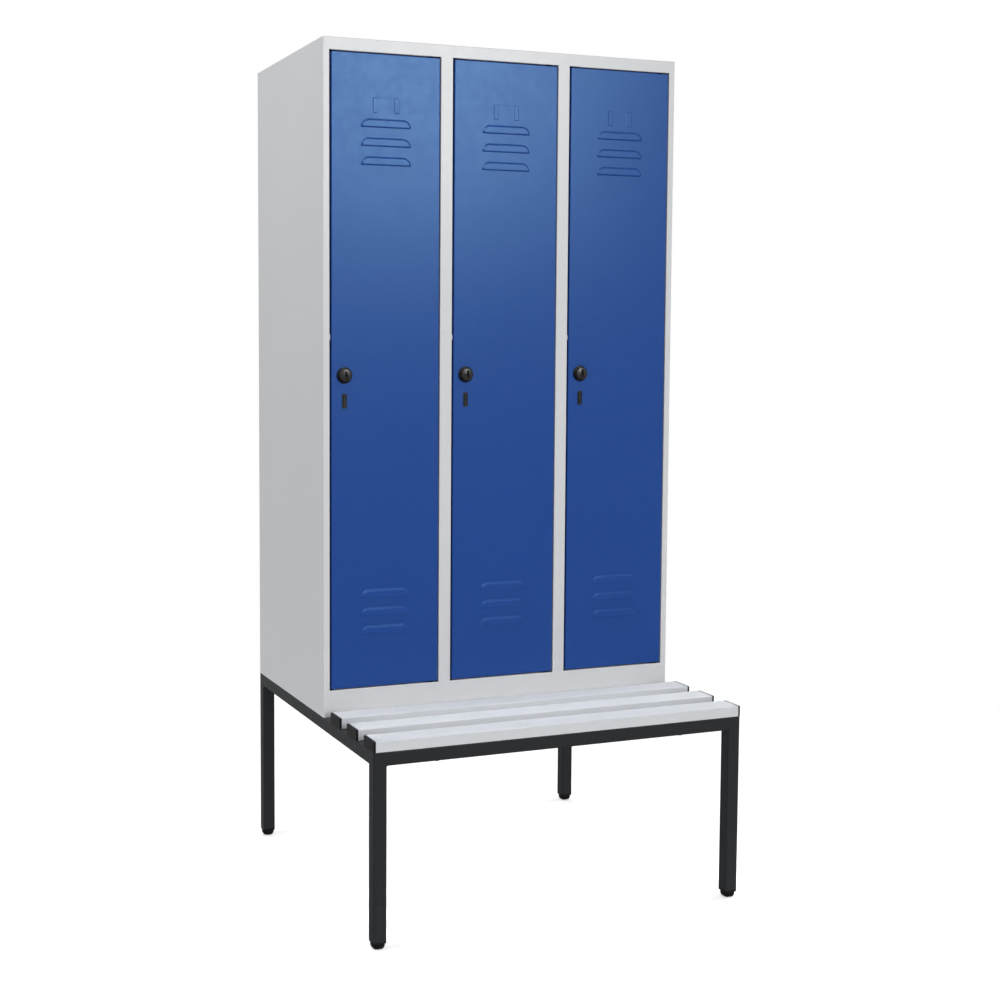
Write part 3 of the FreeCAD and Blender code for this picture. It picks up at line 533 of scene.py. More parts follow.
def tree_of(fill, values):
    """Tree that a function fills, made once, with a named input for each value; it ends in the finish."""
    name = fill.__name__
    if name in bpy.data.node_groups:
        return bpy.data.node_groups[name]
    tree = bpy.data.node_groups.new(name, "GeometryNodeTree")
    tree.interface.new_socket("Geometry", in_out="INPUT", socket_type="NodeSocketGeometry")
    for label, value in values.items():
        tree.interface.new_socket(label, in_out="INPUT", socket_type=socket_type(value))
    tree.interface.new_socket("Geometry", in_out="OUTPUT", socket_type="NodeSocketGeometry")
    given = tree.nodes.new("NodeGroupInput").outputs

    def add(kind, *details, **options):
        return add_node(tree, "GeometryNode" + kind, *details, **options)

    real = add("RealizeInstances", {"Geometry": fill(add, given)})
    painted = add("SetMaterial", {"Geometry": real, "Material": given["Finish"]})
    tree.links.new(painted, tree.nodes.new("NodeGroupOutput").inputs[0])
    return tree


def run_tree(mesh, fill, finish, values):
    """Puts a mesh through a tree and returns the plain mesh that comes out."""
    values = {**values, "Finish": material_of(finish)}
    tree = tree_of(fill, values)
    obj = workpiece(mesh)
    modifier = obj.modifiers.new(tree.name, "NODES")
    modifier.node_group = tree
    for item in tree.interface.items_tree:
        if item.in_out == "INPUT" and item.name in values:
            modifier[item.identifier] = values[item.name]
    result = evaluated_mesh(obj)
    bpy.data.objects.remove(obj)
    return result


def profile_rows(add, given):
    """Rounds an outline's corners, runs it out to a bar or folded sheet, turns it and repeats it."""
    radius = add("InputNamedAttribute", {"Name": "bend_radius"}, "Attribute", data_type="FLOAT")
    line = add("MeshToCurve", {"Mesh": given["Geometry"]})
    rounded = add("FilletCurve", {"Curve": line, "Count": given["Bend Steps"], "Radius": radius,
                                  "Limit Radius": True}, mode="POLY")
    face = add("FillCurve", {"Curve": rounded}, mode="NGONS")
    bar = add("ExtrudeMesh", {"Mesh": face, "Offset": (0.0, 0.0, 1.0), "Offset Scale": given["Run"],
                              "Individual": False}, mode="FACES")
    foot = add("FlipFaces", {"Mesh": face})
    closed = add("JoinGeometry", {"Geometry": [bar, foot]})
    whole = add("MergeByDistance", {"Geometry": closed, "Distance": MERGE})
    row = add("MeshLine", {"Count": given["Copies"], "Offset": given["Step"]}, mode="OFFSET")
    copies = add("InstanceOnPoints", {"Points": row, "Instance": whole})
    return add("Transform", {"Geometry": copies, "Translation": given["Place"], "Rotation": given["Turn"]})


def profile(corners, along, start, end, finish, copies=1, step=0.0, bend_steps=5):
    """Bar or folded sheet of an outline that runs along an axis; copies follow the outline's first way."""
    base = bpy.data.meshes.new("outline")
    count = len(corners)
    base.from_pydata(at_height([corner[:2] for corner in corners], 0.0),
                     [(index, (index + 1) % count) for index in range(count)], [])
    radii = base.attributes.new("bend_radius", "FLOAT", "POINT")
    radii.data.foreach_set("value", [radius for u, v, radius in corners])
    made = run_tree(base, profile_rows, finish, {
        "Run": float(end - start), "Bend Steps": bend_steps, "Copies": copies, "Step": (step, 0.0, 0.0),
        "Turn": TURNS[along], "Place": [start if axis == along else 0.0 for axis in "xyz"]})
    return solid(opened(made))


def shape_on_points(add, given):
    """Puts one small shape on every point of a mesh."""
    shape = add("ObjectInfo", {"Object": given["Shape"], "As Instance": True}, "Geometry")
    return add("InstanceOnPoints", {"Points": given["Geometry"], "Instance": shape})


def scattered(mesh, places, finish):
    """Copies of a mesh at places, as one mesh."""
    points = bpy.data.meshes.new("places")
    points.from_pydata(places, [], [])
    shape = workpiece(mesh)
    result = run_tree(points, shape_on_points, finish, {"Shape": shape})
    bpy.data.objects.remove(shape)
    return result


def louvre_rows(add, given):
    """Adds two rows of pressed hoods to a sheet that has their openings."""
    hood = add("ObjectInfo", {"Object": given["Hood"], "As Instance": True}, "Geometry")
    rows = []
    for start in ("Lower Start", "Upper Start"):
        rows.append(add("MeshLine", {"Count": given["Count"], "Start Location": given[start],
                                     "Offset": given["Pitch"]}, mode="OFFSET"))
    places = add("JoinGeometry", {"Geometry": rows})
    hoods = add("InstanceOnPoints", {"Points": places, "Instance": hood})
    real = add("RealizeInstances", {"Geometry": hoods})
    whole = add("JoinGeometry", {"Geometry": [given["Geometry"], real]})
    return add("MergeByDistance", {"Geometry": whole, "Distance": SHEET_MERGE})


def weld_beads(add, given):
    """Lays overlapping ripples along seam lines."""
    line = add("MeshToCurve", {"Mesh": given["Geometry"]})
    spaced = add("ResampleCurve", {"Curve": line, "Length": given["Ripple"]}, mode="LENGTH")
    ripple = add("MeshUVSphere", {"Segments": BEAD_SEGMENTS, "Rings": BEAD_RINGS, "Radius": given["Radius"]})
    return add("InstanceOnPoints", {"Points": spaced, "Instance": ripple})


# Materials

def new_material(name):
    """Material with a Principled shader, and the coordinates of the piece."""
    material = bpy.data.materials.new(name)
    material.use_nodes = True
    tree = material.node_tree
    place = add_node(tree, "ShaderNodeTexCoord", output="Object")
    return material, tree, tree.nodes["Principled BSDF"], place


def noise(tree, place, kind):
    """Noise from 0 to 1, stretched along the axes."""
    mapped = add_node(tree, "ShaderNodeMapping", {"Vector": place, "Scale": kind.stretch})
    return add_node(tree, "ShaderNodeTexNoise", {
        "Vector": mapped, "Scale": kind.scale, "Detail": kind.detail, "Roughness": NOISE_ROUGHNESS}, "Fac")


def tinted(tree, factor, tone, drift):
    """Colour that wanders a little about its tone."""
    darker = [value * (1 - drift) for value in tone]
    lighter = [min(value * (1 + drift), 1.0) for value in tone]
    first, second = MIX_COLOURS
    return add_node(tree, "ShaderNodeMix", {
        "Factor": factor, first: (*darker, 1.0), second: (*lighter, 1.0)}, MIXED_COLOUR, data_type="RGBA")


def material_of(name):
    """Material of a finish, made once from the scene's colours and gloss."""
    finish = FINISHES[name]
    if finish.material in bpy.data.materials:
        return bpy.data.materials[finish.material]
    grain = finish.grain
    values = bpy.context.scene.locker_finish
    roughness = getattr(values, name + "_roughness")
    material, tree, shader, place = new_material(finish.material)
    tone = tinted(tree, noise(tree, place, grain.tone), getattr(values, name), grain.drift)
    gloss = add_node(tree, "ShaderNodeMapRange", {
        "Value": noise(tree, place, grain.gloss), "From Min": NOISE_LOW, "From Max": NOISE_HIGH,
        "To Min": roughness - grain.smoother, "To Max": roughness + grain.rougher})
    relief = add_node(tree, "ShaderNodeBump", {
        "Height": noise(tree, place, grain.relief), "Strength": grain.strength, "Distance": grain.depth})
    for socket, source in (("Base Color", tone), ("Roughness", gloss), ("Normal", relief)):
        tree.links.new(source, shader.inputs[socket])
    shader.inputs["Metallic"].default_value = grain.metal
    shader.inputs["Specular IOR Level"].default_value = getattr(values, name + "_specular")
    shader.inputs["Specular Tint"].default_value = (*getattr(values, name + "_tint"), 1.0)
    return material


class PieceOperator:
    """What the piece operators share: they build from the sizes of the scene."""
    bl_options = {"REGISTER", "UNDO"}

    def execute(self, context):
        self.build(context.scene.locker_sizes)
        return {"FINISHED"}


class LOCKER_OT_underframe(PieceOperator, bpy.types.Operator):
    """Make the legs and rails of square tube, and their weld beads"""
    bl_idname = "locker.underframe"
    bl_label = "Underframe"
    legs = {"front_left_leg": "front_left_post", "front_right_leg": "front_right_post",
            "rear_left_leg": "rear_left_post", "rear_right_leg": "rear_right_post"}
    cross_rails = {"front_rail": "front_bar", "middle_rail": "middle_bar", "rear_rail": "rear_bar"}
    side_rails = {"left_side_rail": "left_bearer", "right_side_rail": "right_bearer"}
    ripple = 0.8

    def build(self, sizes):
        corner = sizes.tube_corner
        groups = ((self.legs, "z", 0.0), (self.cross_rails, "x", corner), (self.side_rails, "y", corner))
        for names, along, lap in groups:
            run = "xyz".index(along)
            u, v = (run + 1) % 3, (run + 2) % 3
            for node, name in names.items():
                low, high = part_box(node)
                outline = [(low[u], low[v], corner), (high[u], low[v], corner), (high[u], high[v], corner),
                           (low[u], high[v], corner)]
                tube = profile(outline, along, low[run] - lap, high[run] + lap, "frame_black")
                add_piece(name, tube, "frame_black", CARCASS, node)
        self.weld(sizes)

    def weld(self, sizes):
        """Beads below and inside each joint; the outer faces are ground flush."""
        inset = sizes.tube_corner
        ends = []
        for node in self.cross_rails:
            low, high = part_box(node)
            inner = low.y if node == "rear_rail" else high.y
            for x in (low.x, high.x):
                ends += [(x, low.y + inset, low.z), (x, high.y - inset, low.z),
                         (x, inner, low.z + inset), (x, inner, high.z - inset)]
        for node in self.side_rails:
            low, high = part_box(node)
            inner = high.x if node == "left_side_rail" else low.x
            for y in (low.y, high.y):
                ends += [(low.x + inset, y, low.z), (high.x - inset, y, low.z),
                         (inner, y, low.z + inset), (inner, y, high.z - inset)]
        lines = bpy.data.meshes.new("seams")
        lines.from_pydata(ends, [(index, index + 1) for index in range(0, len(ends), 2)], [])
        beads = run_tree(lines, weld_beads, "frame_black", {
            "Radius": sizes.weld, "Ripple": sizes.weld * self.ripple})
        add_piece("frame_welds", beads, "frame_black", CARCASS)


class LOCKER_OT_feet(PieceOperator, bpy.types.Operator):
    """Make the plastic feet in the leg ends"""
    bl_idname = "locker.feet"
    bl_label = "Feet"
    reveal = 0.0006
    arc_steps = 8

    def build(self, sizes):
        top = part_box("front_left_leg")[0].z
        joint = top - sizes.foot_collar
        reveal = self.reveal
        corner = sizes.tube_corner
        levels = []
        for sine, drop in turn_steps(self.arc_steps):
            inset = sizes.foot_round * (1 - sine)
            levels.append((sizes.foot_step + inset, sizes.foot_corner - inset, sizes.foot_round * drop))
        levels += [(sizes.foot_step, sizes.foot_corner, joint), (reveal, corner - reveal, joint),
                   (0.0, corner, joint + reveal), (0.0, corner, top - 2 * reveal),
                   (reveal, corner - reveal, top - reveal), (reveal, corner - reveal, top)]
        rings = []
        for inset, radius, z in levels:
            half = TUBE / 2 - inset
            rings.append(at_height(rounded_loop(-half, half, -half, half, radius, self.arc_steps), z))
        shape = bmesh.new()
        loft(shape, rings, caps=(0, -1))
        centres = []
        for node in LOCKER_OT_underframe.legs:
            low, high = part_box(node)
            centres.append(((low.x + high.x) / 2, (low.y + high.y) / 2, 0.0))
        feet = scattered(solid(shape), centres, "black_plastic")
        add_piece("foot_glides", feet, "black_plastic", CARCASS, "leg_feet")


class LOCKER_OT_bench(PieceOperator, bpy.types.Operator):
    """Make the three bench slats and their end caps"""
    bl_idname = "locker.bench"
    bl_label = "Bench slats"
    slats = ("front_slat", "middle_slat", "rear_slat")
    bend_steps = 7
    cap_bevel = 0.0007
    cap_segments = 3
    cap_angle = math.radians(60)

    def build(self, sizes):
        low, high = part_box("front_slat")
        upper = sizes.slat_round
        lower = sizes.slat_lower_round
        rear = low.y + sizes.slat_width
        outline = [(low.y, low.z, lower), (rear, low.z, lower), (rear, high.z, upper), (low.y, high.z, upper)]
        rows = {"copies": len(self.slats), "step": sizes.slat_pitch, "bend_steps": self.bend_steps}
        slats = profile(outline, "x", low.x, high.x, "slat_grey", **rows)
        add_piece("bench_slats", slats, "slat_grey", CARCASS, *self.slats)
        ends = [profile(outline, "x", start, start + sizes.cap, "black_plastic", **rows)
                for start in (low.x - sizes.cap, high.x)]
        caps = modified(joined(*ends), "BEVEL", width=self.cap_bevel, segments=self.cap_segments,
                        limit_method="ANGLE", angle_limit=self.cap_angle)
        add_piece("slat_caps", caps, "black_plastic", CARCASS, "slat_end_caps")


class LOCKER_OT_screws(PieceOperator, bpy.types.Operator):
    """Make the flanged hexagon screws under the rails"""
    bl_idname = "locker.screws"
    bl_label = "Underframe screws"
    flange_radius = 0.0065
    flange_thick = 0.0013
    flange_wall = 0.0008
    flange_slope = 0.0008
    flange_sides = 36
    head_radius = 0.0048
    head_sides = 6
    crown_radius = 0.0043
    crown_height = 0.0006
    dish_radius = 0.0034
    dish_floor = 0.0029
    dish_depth = 0.0004
    inset = 0.15
    side_inset = 0.019

    def build(self, sizes):
        head = RAIL_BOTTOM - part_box("underframe_screws")[0].z
        flange = [(self.flange_radius, 0.0), (self.flange_radius, -self.flange_wall),
                  (self.flange_radius - self.flange_slope, -self.flange_thick)]
        hexagon = [(self.head_radius, -self.flange_thick), (self.head_radius, self.crown_height - head),
                   (self.crown_radius, -head), (self.dish_radius, -head),
                   (self.dish_floor, self.dish_depth - head)]
        shape = bmesh.new()
        for section, sides in ((flange, self.flange_sides), (hexagon, self.head_sides)):
            rings = [at_height(circle(0.0, 0.0, radius, sides), z) for radius, z in section]
            loft(shape, rings, caps=(0, -1))
        middle_of_tube = TUBE / 2
        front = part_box("front_rail")[0].y + middle_of_tube
        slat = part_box("front_slat")[0].y + middle_of_tube
        places = []
        for side in (-1, 1):
            x = side * (HALF - self.inset)
            edge = side * (HALF - self.side_inset)
            places += [(x, front), (x, FRONT + middle_of_tube), (x, BACK - middle_of_tube),
                       (edge, slat + sizes.slat_pitch), (edge, slat + 2 * sizes.slat_pitch)]
        heads = scattered(solid(shape), at_height(places, RAIL_BOTTOM), "zinc_steel")
        add_piece("rail_screws", heads, "zinc_steel", CARCASS, "underframe_screws")


class LOCKER_OT_body(PieceOperator, bpy.types.Operator):
    """Make the folded side walls, roof, floor pan and partitions, and paint the back wall"""
    bl_idname = "locker.body"
    bl_label = "Body"

    def build(self, sizes):
        rear = FRONT + sizes.lip
        self.walls(sizes, rear)
        self.roof(sizes, rear)
        self.floor(sizes, rear)
        self.partitions(sizes, rear)
        dress_node("back_wall", "body_grey")

    def sheet(self, line, sizes, along, start, end, side=1):
        """Folded body sheet that runs along an axis."""
        return profile(sheet_outline(line, sizes, side), along, start, end, "body_grey")

    def notched(self, mesh, sizes, z0, z1):
        """A rail with cut-outs at both ends of its lip over or under each door."""
        y0 = FRONT + sizes.sheet
        y1 = FRONT + sizes.lip + sizes.sheet
        boxes = []
        for index in range(len(BAYS)):
            left = -HALF + index * BAY + sizes.stile
            right = left + BAY - 2 * sizes.stile
            boxes.append(((left, y0, z0), (left + sizes.notch_lock, y1, z1)))
            boxes.append(((right - sizes.notch_hinge, y0, z0), (right, y1, z1)))
        return cut_boxes(mesh, boxes)

    def walls(self, sizes, rear):
        inner = HALF - sizes.stile
        line = [(HALF - sizes.flange, BACK), (HALF, BACK), (HALF, FRONT), (inner, FRONT), (inner, rear),
                (inner + sizes.hem, rear)]
        for hand, side in (("left", -1), ("right", 1)):
            points = [(side * x, y) for x, y in line]
            wall = self.sheet(points, sizes, "z", BODY_BOTTOM, WALL_TOP, -side)
            add_piece(hand + "_wall", wall, "body_grey", CARCASS, hand + "_side_wall")

    def roof(self, sizes, rear):
        line = [(BACK, TOP), (FRONT, TOP), (FRONT, OPENING_TOP), (rear, OPENING_TOP),
                (rear, OPENING_TOP + sizes.rail_hem)]
        between = HALF - sizes.stile + sizes.seam_cover
        roof = self.sheet(line, sizes, "x", -between, between)
        roof = self.notched(roof, sizes, OPENING_TOP - sizes.sheet, OPENING_TOP + sizes.notch_height)
        edges = box_mesh([((x, FRONT, WALL_TOP), (x + HALF - between, BACK, TOP)) for x in (-HALF, between)])
        add_piece("roof_sheet", joined(roof, edges), "body_grey", CARCASS, "roof")

    def floor(self, sizes, rear):
        line = [(FRONT + TUBE, BODY_BOTTOM), (FRONT, BODY_BOTTOM), (FRONT, OPENING_BOTTOM),
                (rear, OPENING_BOTTOM), (rear, FLOOR_TOP), (BACK_WALL_FRONT, FLOOR_TOP),
                (BACK_WALL_FRONT, BODY_BOTTOM), (BACK_WALL_FRONT - TUBE, BODY_BOTTOM)]
        reach = HALF - sizes.stile + sizes.seam_cover
        pan = self.sheet(line, sizes, "x", -reach, reach, -1)
        pan = self.notched(pan, sizes, OPENING_BOTTOM - sizes.notch_height, OPENING_BOTTOM + sizes.sheet)
        fold = sizes.bend + sizes.sheet
        y0 = rear + fold
        y1 = BACK_WALL_FRONT - fold
        strips = box_mesh([((x0, y0, FLOOR_TOP - sizes.sheet), (x1, y1, FLOOR_TOP))
                           for x0, x1 in ((-HALF + sizes.sheet, -reach), (reach, HALF - sizes.sheet))])
        add_piece("floor_sheet", joined(pan, strips), "body_grey", CARCASS, "floor_pan")

    def partitions(self, sizes, rear):
        bottom = OPENING_BOTTOM - sizes.seam_cover
        top = OPENING_TOP + sizes.seam_cover
        web_front = rear + sizes.bend + sizes.sheet
        for hand, side in (("left", -1), ("right", 1)):
            x = side * HALF / len(BAYS)
            web = x + sizes.sheet / 2
            line = [(x - sizes.stile + sizes.hem, rear), (x - sizes.stile, rear), (x - sizes.stile, FRONT),
                    (x + sizes.stile, FRONT), (x + sizes.stile, rear), (web, rear), (web, BACK_WALL_FRONT)]
            wall = self.sheet(line, sizes, "z", bottom, top)
            ends = box_mesh([((web - sizes.sheet, web_front, z0), (web, BACK_WALL_FRONT, z1))
                             for z0, z1 in ((FLOOR_TOP, bottom), (top, WALL_TOP))])
            add_piece(hand + "_divider", joined(wall, ends), "body_grey", CARCASS, hand + "_partition")


class LOCKER_OT_inside(PieceOperator, bpy.types.Operator):
    """Make the hat shelves and finish the coat rails and coat hooks"""
    bl_idname = "locker.inside"
    bl_label = "Shelves, rails and hooks"

    def build(self, sizes):
        for bay in BAYS:
            low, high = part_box(bay + "_hat_shelf")
            front = high.z - sizes.shelf_front
            line = [(high.y, high.z), (low.y, high.z), (low.y, front), (low.y + sizes.shelf_side, front)]
            shelf = profile(sheet_outline(line, sizes), "x", low.x, high.x, "body_grey")
            side_front = low.y + sizes.shelf_side + sizes.bend
            side_top = high.z - sizes.sheet
            side_low = high.z - sizes.shelf_side
            sides = box_mesh([((x, side_front, side_low), (x + sizes.sheet, high.y, side_top))
                              for x in (low.x, high.x - sizes.sheet)])
            add_piece(bay + "_shelf", joined(shelf, sides), "body_grey", CARCASS, bay + "_hat_shelf")
            dress_node(bay + "_coat_rail", "zinc_steel")
            dress_node(bay + "_coat_hook", "black_plastic")


# Outline and depth of a pressed hood that is open along its lower edge
Hood = namedtuple("Hood", "width height depth corner steps")


class LOCKER_OT_doors(PieceOperator, bpy.types.Operator):
    """Make the doors with their pressed louvres and label holders"""
    bl_idname = "locker.doors"
    bl_label = "Doors"
    louvres_in_group = 3
    louvre_steps = 24
    tab_steps = 12
    hood_wall = math.radians(37)
    hood_foot = 0.0006
    hood_shoulder = 0.0012
    hood_bend_steps = 5
    least_corner = 0.0003
    lip_height = 0.0029
    lip_radius = 0.0044
    lip_strips = 3
    edge_steps = 6
    label_corner = 0.003
    label_softness = 0.4
    field_corner = 0.002
    field_margin = 0.0004
    field_slope = 0.0008
    barrel_radius = 0.0095
    barrel_sides = 32
    plug_reveal = 0.001
    slot_corner = 0.002

    def section(self, depth, scale):
        """Steps from the sheet up to the flat top of a hood: how far in and how far out."""
        foot = self.hood_foot * scale
        shoulder = self.hood_shoulder * scale
        turns = turn_steps(self.hood_bend_steps, self.hood_wall)
        wall_sine, wall_drop = turns[-1]
        rise = depth - (foot + shoulder) * wall_drop
        steps = [(foot * sine, foot * drop) for sine, drop in turns]
        inward = steps[-1][0] + rise / wall_sine * (1 - wall_drop)
        outward = steps[-1][1] + rise
        return steps + [(inward + shoulder * (wall_sine - sine), outward + shoulder * (wall_drop - drop))
                        for sine, drop in reversed(turns)]

    def ring(self, hood, inset):
        """Line round a hood from its lower left to its lower right end."""
        half = hood.width / 2 - inset
        radius = max(hood.corner - inset, self.least_corner)
        z = hood.height - inset - radius
        return [(-half, 0.0), *arc(radius - half, z, radius, 180, -90, hood.steps),
                *arc(half - radius, z, radius, 90, -90, hood.steps), (half, 0.0)]

    def pressing(self, hood, scale=1.0, strips=0):
        """Hood at the origin, with strips across its face where a lip is rolled."""
        shape = bmesh.new()
        rings = [at_depth(self.ring(hood, inset), -out) for inset, out in self.section(hood.depth, scale)]
        face = loft(shape, rings, closed=False)[-1]
        for index in range(1, strips + 1):
            shape.faces.new((face[index], face[index + 1], face[-index - 2], face[-index - 1]))
        shape.faces.new(face[strips + 1:len(face) - strips - 1] if strips else face)
        return merged(shape)

    def louvre(self, hood):
        """Louvre whose lower lip rolls in towards the sheet."""
        mesh = self.pressing(hood, strips=self.lip_strips)
        for vertex in mesh.vertices:
            below = max(self.lip_height - vertex.co.z, 0.0)
            roll = self.lip_radius - math.sqrt(self.lip_radius ** 2 - below ** 2)
            vertex.co.y *= 1 - roll / hood.depth
        return mesh

    def opening(self, hood, place):
        """Opening in the sheet behind a hood."""
        loop = []
        for x, z in self.ring(hood, 0.0):
            placed = place @ Vector((x, 0.0, z))
            point = (placed.x, placed.z)
            if not loop or math.dist(point, loop[-1]) > SAME_POINT:
                loop.append(point)
        return loop

    def edge_rings(self, sizes, low, high):
        """Rings from the edge of the front face round the folded edges to the returns."""
        edge = sizes.door_edge
        corner = sizes.door_corner
        turns = turn_steps(self.edge_steps)
        section = [(edge * (1 - sine), FRONT + edge * drop) for sine, drop in turns]
        section += [(edge * drop, high.y - edge * (1 - sine)) for sine, drop in turns]
        rings = [at_depth(inset_loop(low, high, inset, corner - inset), y) for inset, y in section]
        reach = sizes.door_return
        loop = rounded_loop(low.x + reach, high.x - reach, low.z + edge, high.z - edge, corner - edge)
        return [*rings, at_depth(loop, high.y)]

    def build(self, sizes):
        hood = Hood(sizes.louvre_width, sizes.louvre_height, sizes.louvre_depth, sizes.louvre_height,
                    self.louvre_steps)
        tab = Hood(sizes.label_height, sizes.label_tab, sizes.label_depth, self.label_corner, self.tab_steps)
        louvre = workpiece(self.louvre(hood))
        for index, bay in enumerate(BAYS):
            self.door(bay, (index - 1) * BAY, sizes, louvre, hood, tab)
            dress_node(bay + "_door_stiffener", "door_blue")
        bpy.data.objects.remove(louvre)

    def door(self, bay, x, sizes, louvre, hood, tab):
        """Door of a bay whose middle is at an X: pierced front, pressings and folded edges."""
        low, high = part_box(bay + "_door_panel")
        rings = self.edge_rings(sizes, low, high)
        loops = [[(u, w) for u, y, w in rings[0]]]
        for start in (sizes.louvre_lower, sizes.louvre_upper):
            for index in range(self.louvres_in_group):
                place = Matrix.Translation((x, FRONT, start + index * sizes.louvre_pitch))
                loops.append(self.opening(hood, place))
        label_top = sizes.label_bottom + sizes.label_height
        reach = sizes.label_width / 2 - sizes.label_tab
        tabs = []
        for side in (-1, 1):
            place = Matrix.Translation((x + side * reach, FRONT, (sizes.label_bottom + label_top) / 2))
            place = place @ Matrix.Rotation(side * QUARTER, 4, "Y")
            loops.append(self.opening(tab, place))
            mesh = self.pressing(tab, self.label_softness)
            mesh.transform(place)
            tabs.append(mesh)
        field = [rounded_loop(x - reach + inset, x + reach - inset, sizes.label_bottom + inset,
                              label_top - inset, self.field_corner)
                 for inset in (self.field_margin, self.field_margin + self.field_slope)]
        barrel = circle(*middle(bay + "_lock_housing"), self.barrel_radius, self.barrel_sides)
        slot = inset_loop(*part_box(bay + "_slot_plug"), self.plug_reveal, self.slot_corner)
        loops += [field[0], barrel, slot]

        shape = bmesh.new()
        flat_face(shape, loops, FRONT)
        loft(shape, rings)
        field_depth = FRONT + sizes.label_recess
        loft(shape, [at_depth(field[0], FRONT), at_depth(field[1], field_depth)])
        flat_face(shape, [field[1]], field_depth)
        for mesh in tabs:
            shape.from_mesh(mesh)
        sheet = run_tree(merged(shape), louvre_rows, "door_blue", {
            "Hood": louvre, "Count": self.louvres_in_group, "Pitch": (0.0, 0.0, sizes.louvre_pitch),
            "Lower Start": (x, FRONT, sizes.louvre_lower), "Upper Start": (x, FRONT, sizes.louvre_upper)})
        shape = opened(sheet)
        bmesh.ops.remove_doubles(shape, verts=shape.verts, dist=SHEET_MERGE)
        bmesh.ops.recalc_face_normals(shape, faces=shape.faces)
        widest = max(shape.faces, key=lambda face: face.calc_area())
        if widest.normal.y > 0:
            bmesh.ops.reverse_faces(shape, faces=shape.faces)
        panel = modified(merged(shape), "SOLIDIFY", thickness=sizes.door_sheet, offset=-1.0,
                         use_even_offset=True)
        add_piece(bay + "_door_leaf", panel, "door_blue", bay + "_door", bay + "_door_panel")


class LOCKER_OT_locks(PieceOperator, bpy.types.Operator):
    """Make the rosettes and turning knobs of the locks, and finish their hidden parts"""
    bl_idname = "locker.locks"
    bl_label = "Locks"
    soft_edge = 0.0003
    rosette_wall = 0.0018
    rosette_bevel = 0.0022
    rosette_step = 0.001
    bore_play = 0.00005
    knob_gap = 0.0003
    knob_edge = 0.0012
    knob_dome = 0.0026
    recess_half = 0.003
    recess_reach = 0.007
    recess_depth = 0.0052
    core_radius = 0.0028
    core_play = 0.0001
    core_depth = 0.003
    spindle_radius = 0.006
    spindle_end = 0.004
    arc_steps = 8

    def build(self, sizes):
        for bay in BAYS:
            self.rosette(bay)
            self.knob(bay)
            dress_node(bay + "_lock_core", "black_plastic")
            dress_node(bay + "_lock_nut", "zinc_steel")
            dress_node(bay + "_lock_cam", "zinc_steel")

    def rosette(self, bay):
        low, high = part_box(bay + "_lock_housing")
        x, z = middle(bay + "_lock_housing")
        radius = high.x - x
        soft = self.soft_edge
        bevel = self.rosette_bevel
        barrel = LOCKER_OT_doors.barrel_radius
        bore = self.spindle_radius + self.bore_play
        wall = FRONT - self.rosette_wall
        section = [(barrel, FRONT), (radius - soft, FRONT), (radius, FRONT - soft)]
        section += [(radius - bevel * drop, wall - bevel * sine) for sine, drop in turn_steps(self.arc_steps)]
        section += [(radius - bevel - self.rosette_step, low.y), (bore + soft, low.y), (bore, low.y + soft),
                    (bore, high.y), (barrel, high.y), (barrel, FRONT)]
        shape = bmesh.new()
        loft(shape, [at_depth(circle(x, z, size), y) for size, y in section])
        add_piece(bay + "_rosette", solid(shape), "black_plastic", bay + "_door", bay + "_lock_housing")

    def recess_loop(self, x, z, margin):
        """Outline of the upright recess in a knob's face, one point for each point of a circle."""
        half = self.recess_half + margin
        reach = self.recess_reach
        points = []
        for across, up in circle(0.0, 0.0, 1.0):
            if half * abs(up) <= reach * abs(across):
                distance = half / abs(across)
            else:
                distance = reach * abs(up) + math.sqrt(half ** 2 - (reach * across) ** 2)
            points.append((x + distance * across, z + distance * up))
        return points

    def knob(self, bay):
        low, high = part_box(bay + "_lock_knob")
        cam_low, cam_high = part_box(bay + "_lock_cam")
        x, z = middle(bay + "_lock_knob")
        radius = high.x - x
        face = low.y
        floor = face + self.recess_depth
        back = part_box(bay + "_lock_housing")[0].y - self.knob_gap
        soft = self.soft_edge
        edge = self.knob_edge
        spindle = self.spindle_radius
        ball = (radius ** 2 + self.knob_dome ** 2) / (2 * self.knob_dome)

        def dome(points, sink=0.0):
            """Points laid on the knob's domed face, or a little below it."""
            return [(u, face + sink + ball - math.sqrt(ball ** 2 - (u - x) ** 2 - (w - z) ** 2), w)
                    for u, w in points]

        tilt = math.asin((radius - edge) / ball)
        rim = circle(x, z, radius - edge * (1 - math.sin(tilt)))
        rim_depth = dome(rim)[0][1] + edge * math.cos(tilt)
        section = [(spindle, high.y), (spindle, cam_high.y), (self.spindle_end, cam_high.y),
                   (self.spindle_end, cam_low.y), (spindle, cam_low.y), (spindle, back),
                   (radius - soft, back), (radius, back - soft)]
        section += [(radius - edge * drop, rim_depth - edge * sine)
                    for sine, drop in turn_steps(self.arc_steps, QUARTER - tilt)[:-1]]
        rings = [at_depth(circle(x, z, size), y) for size, y in section]
        lip = self.recess_loop(x, z, soft)
        for step in range(self.arc_steps + 1):
            blend = step / self.arc_steps
            rings.append(dome([(u0 + (u1 - u0) * blend, w0 + (w1 - w0) * blend)
                               for (u0, w0), (u1, w1) in zip(rim, lip)]))
        wall = self.recess_loop(x, z, 0.0)
        core = circle(x, z, self.core_radius + self.core_play)
        shape = bmesh.new()
        loft(shape, [*rings, dome(wall, soft), at_depth(wall, floor)], caps=(0,))
        flat_face(shape, [wall, core], floor)
        loft(shape, [at_depth(core, y) for y in (floor, floor + self.core_depth)], caps=(-1,))
        add_piece(bay + "_turn_knob", solid(shape), "knob_plastic", bay + "_lock", bay + "_lock_knob")


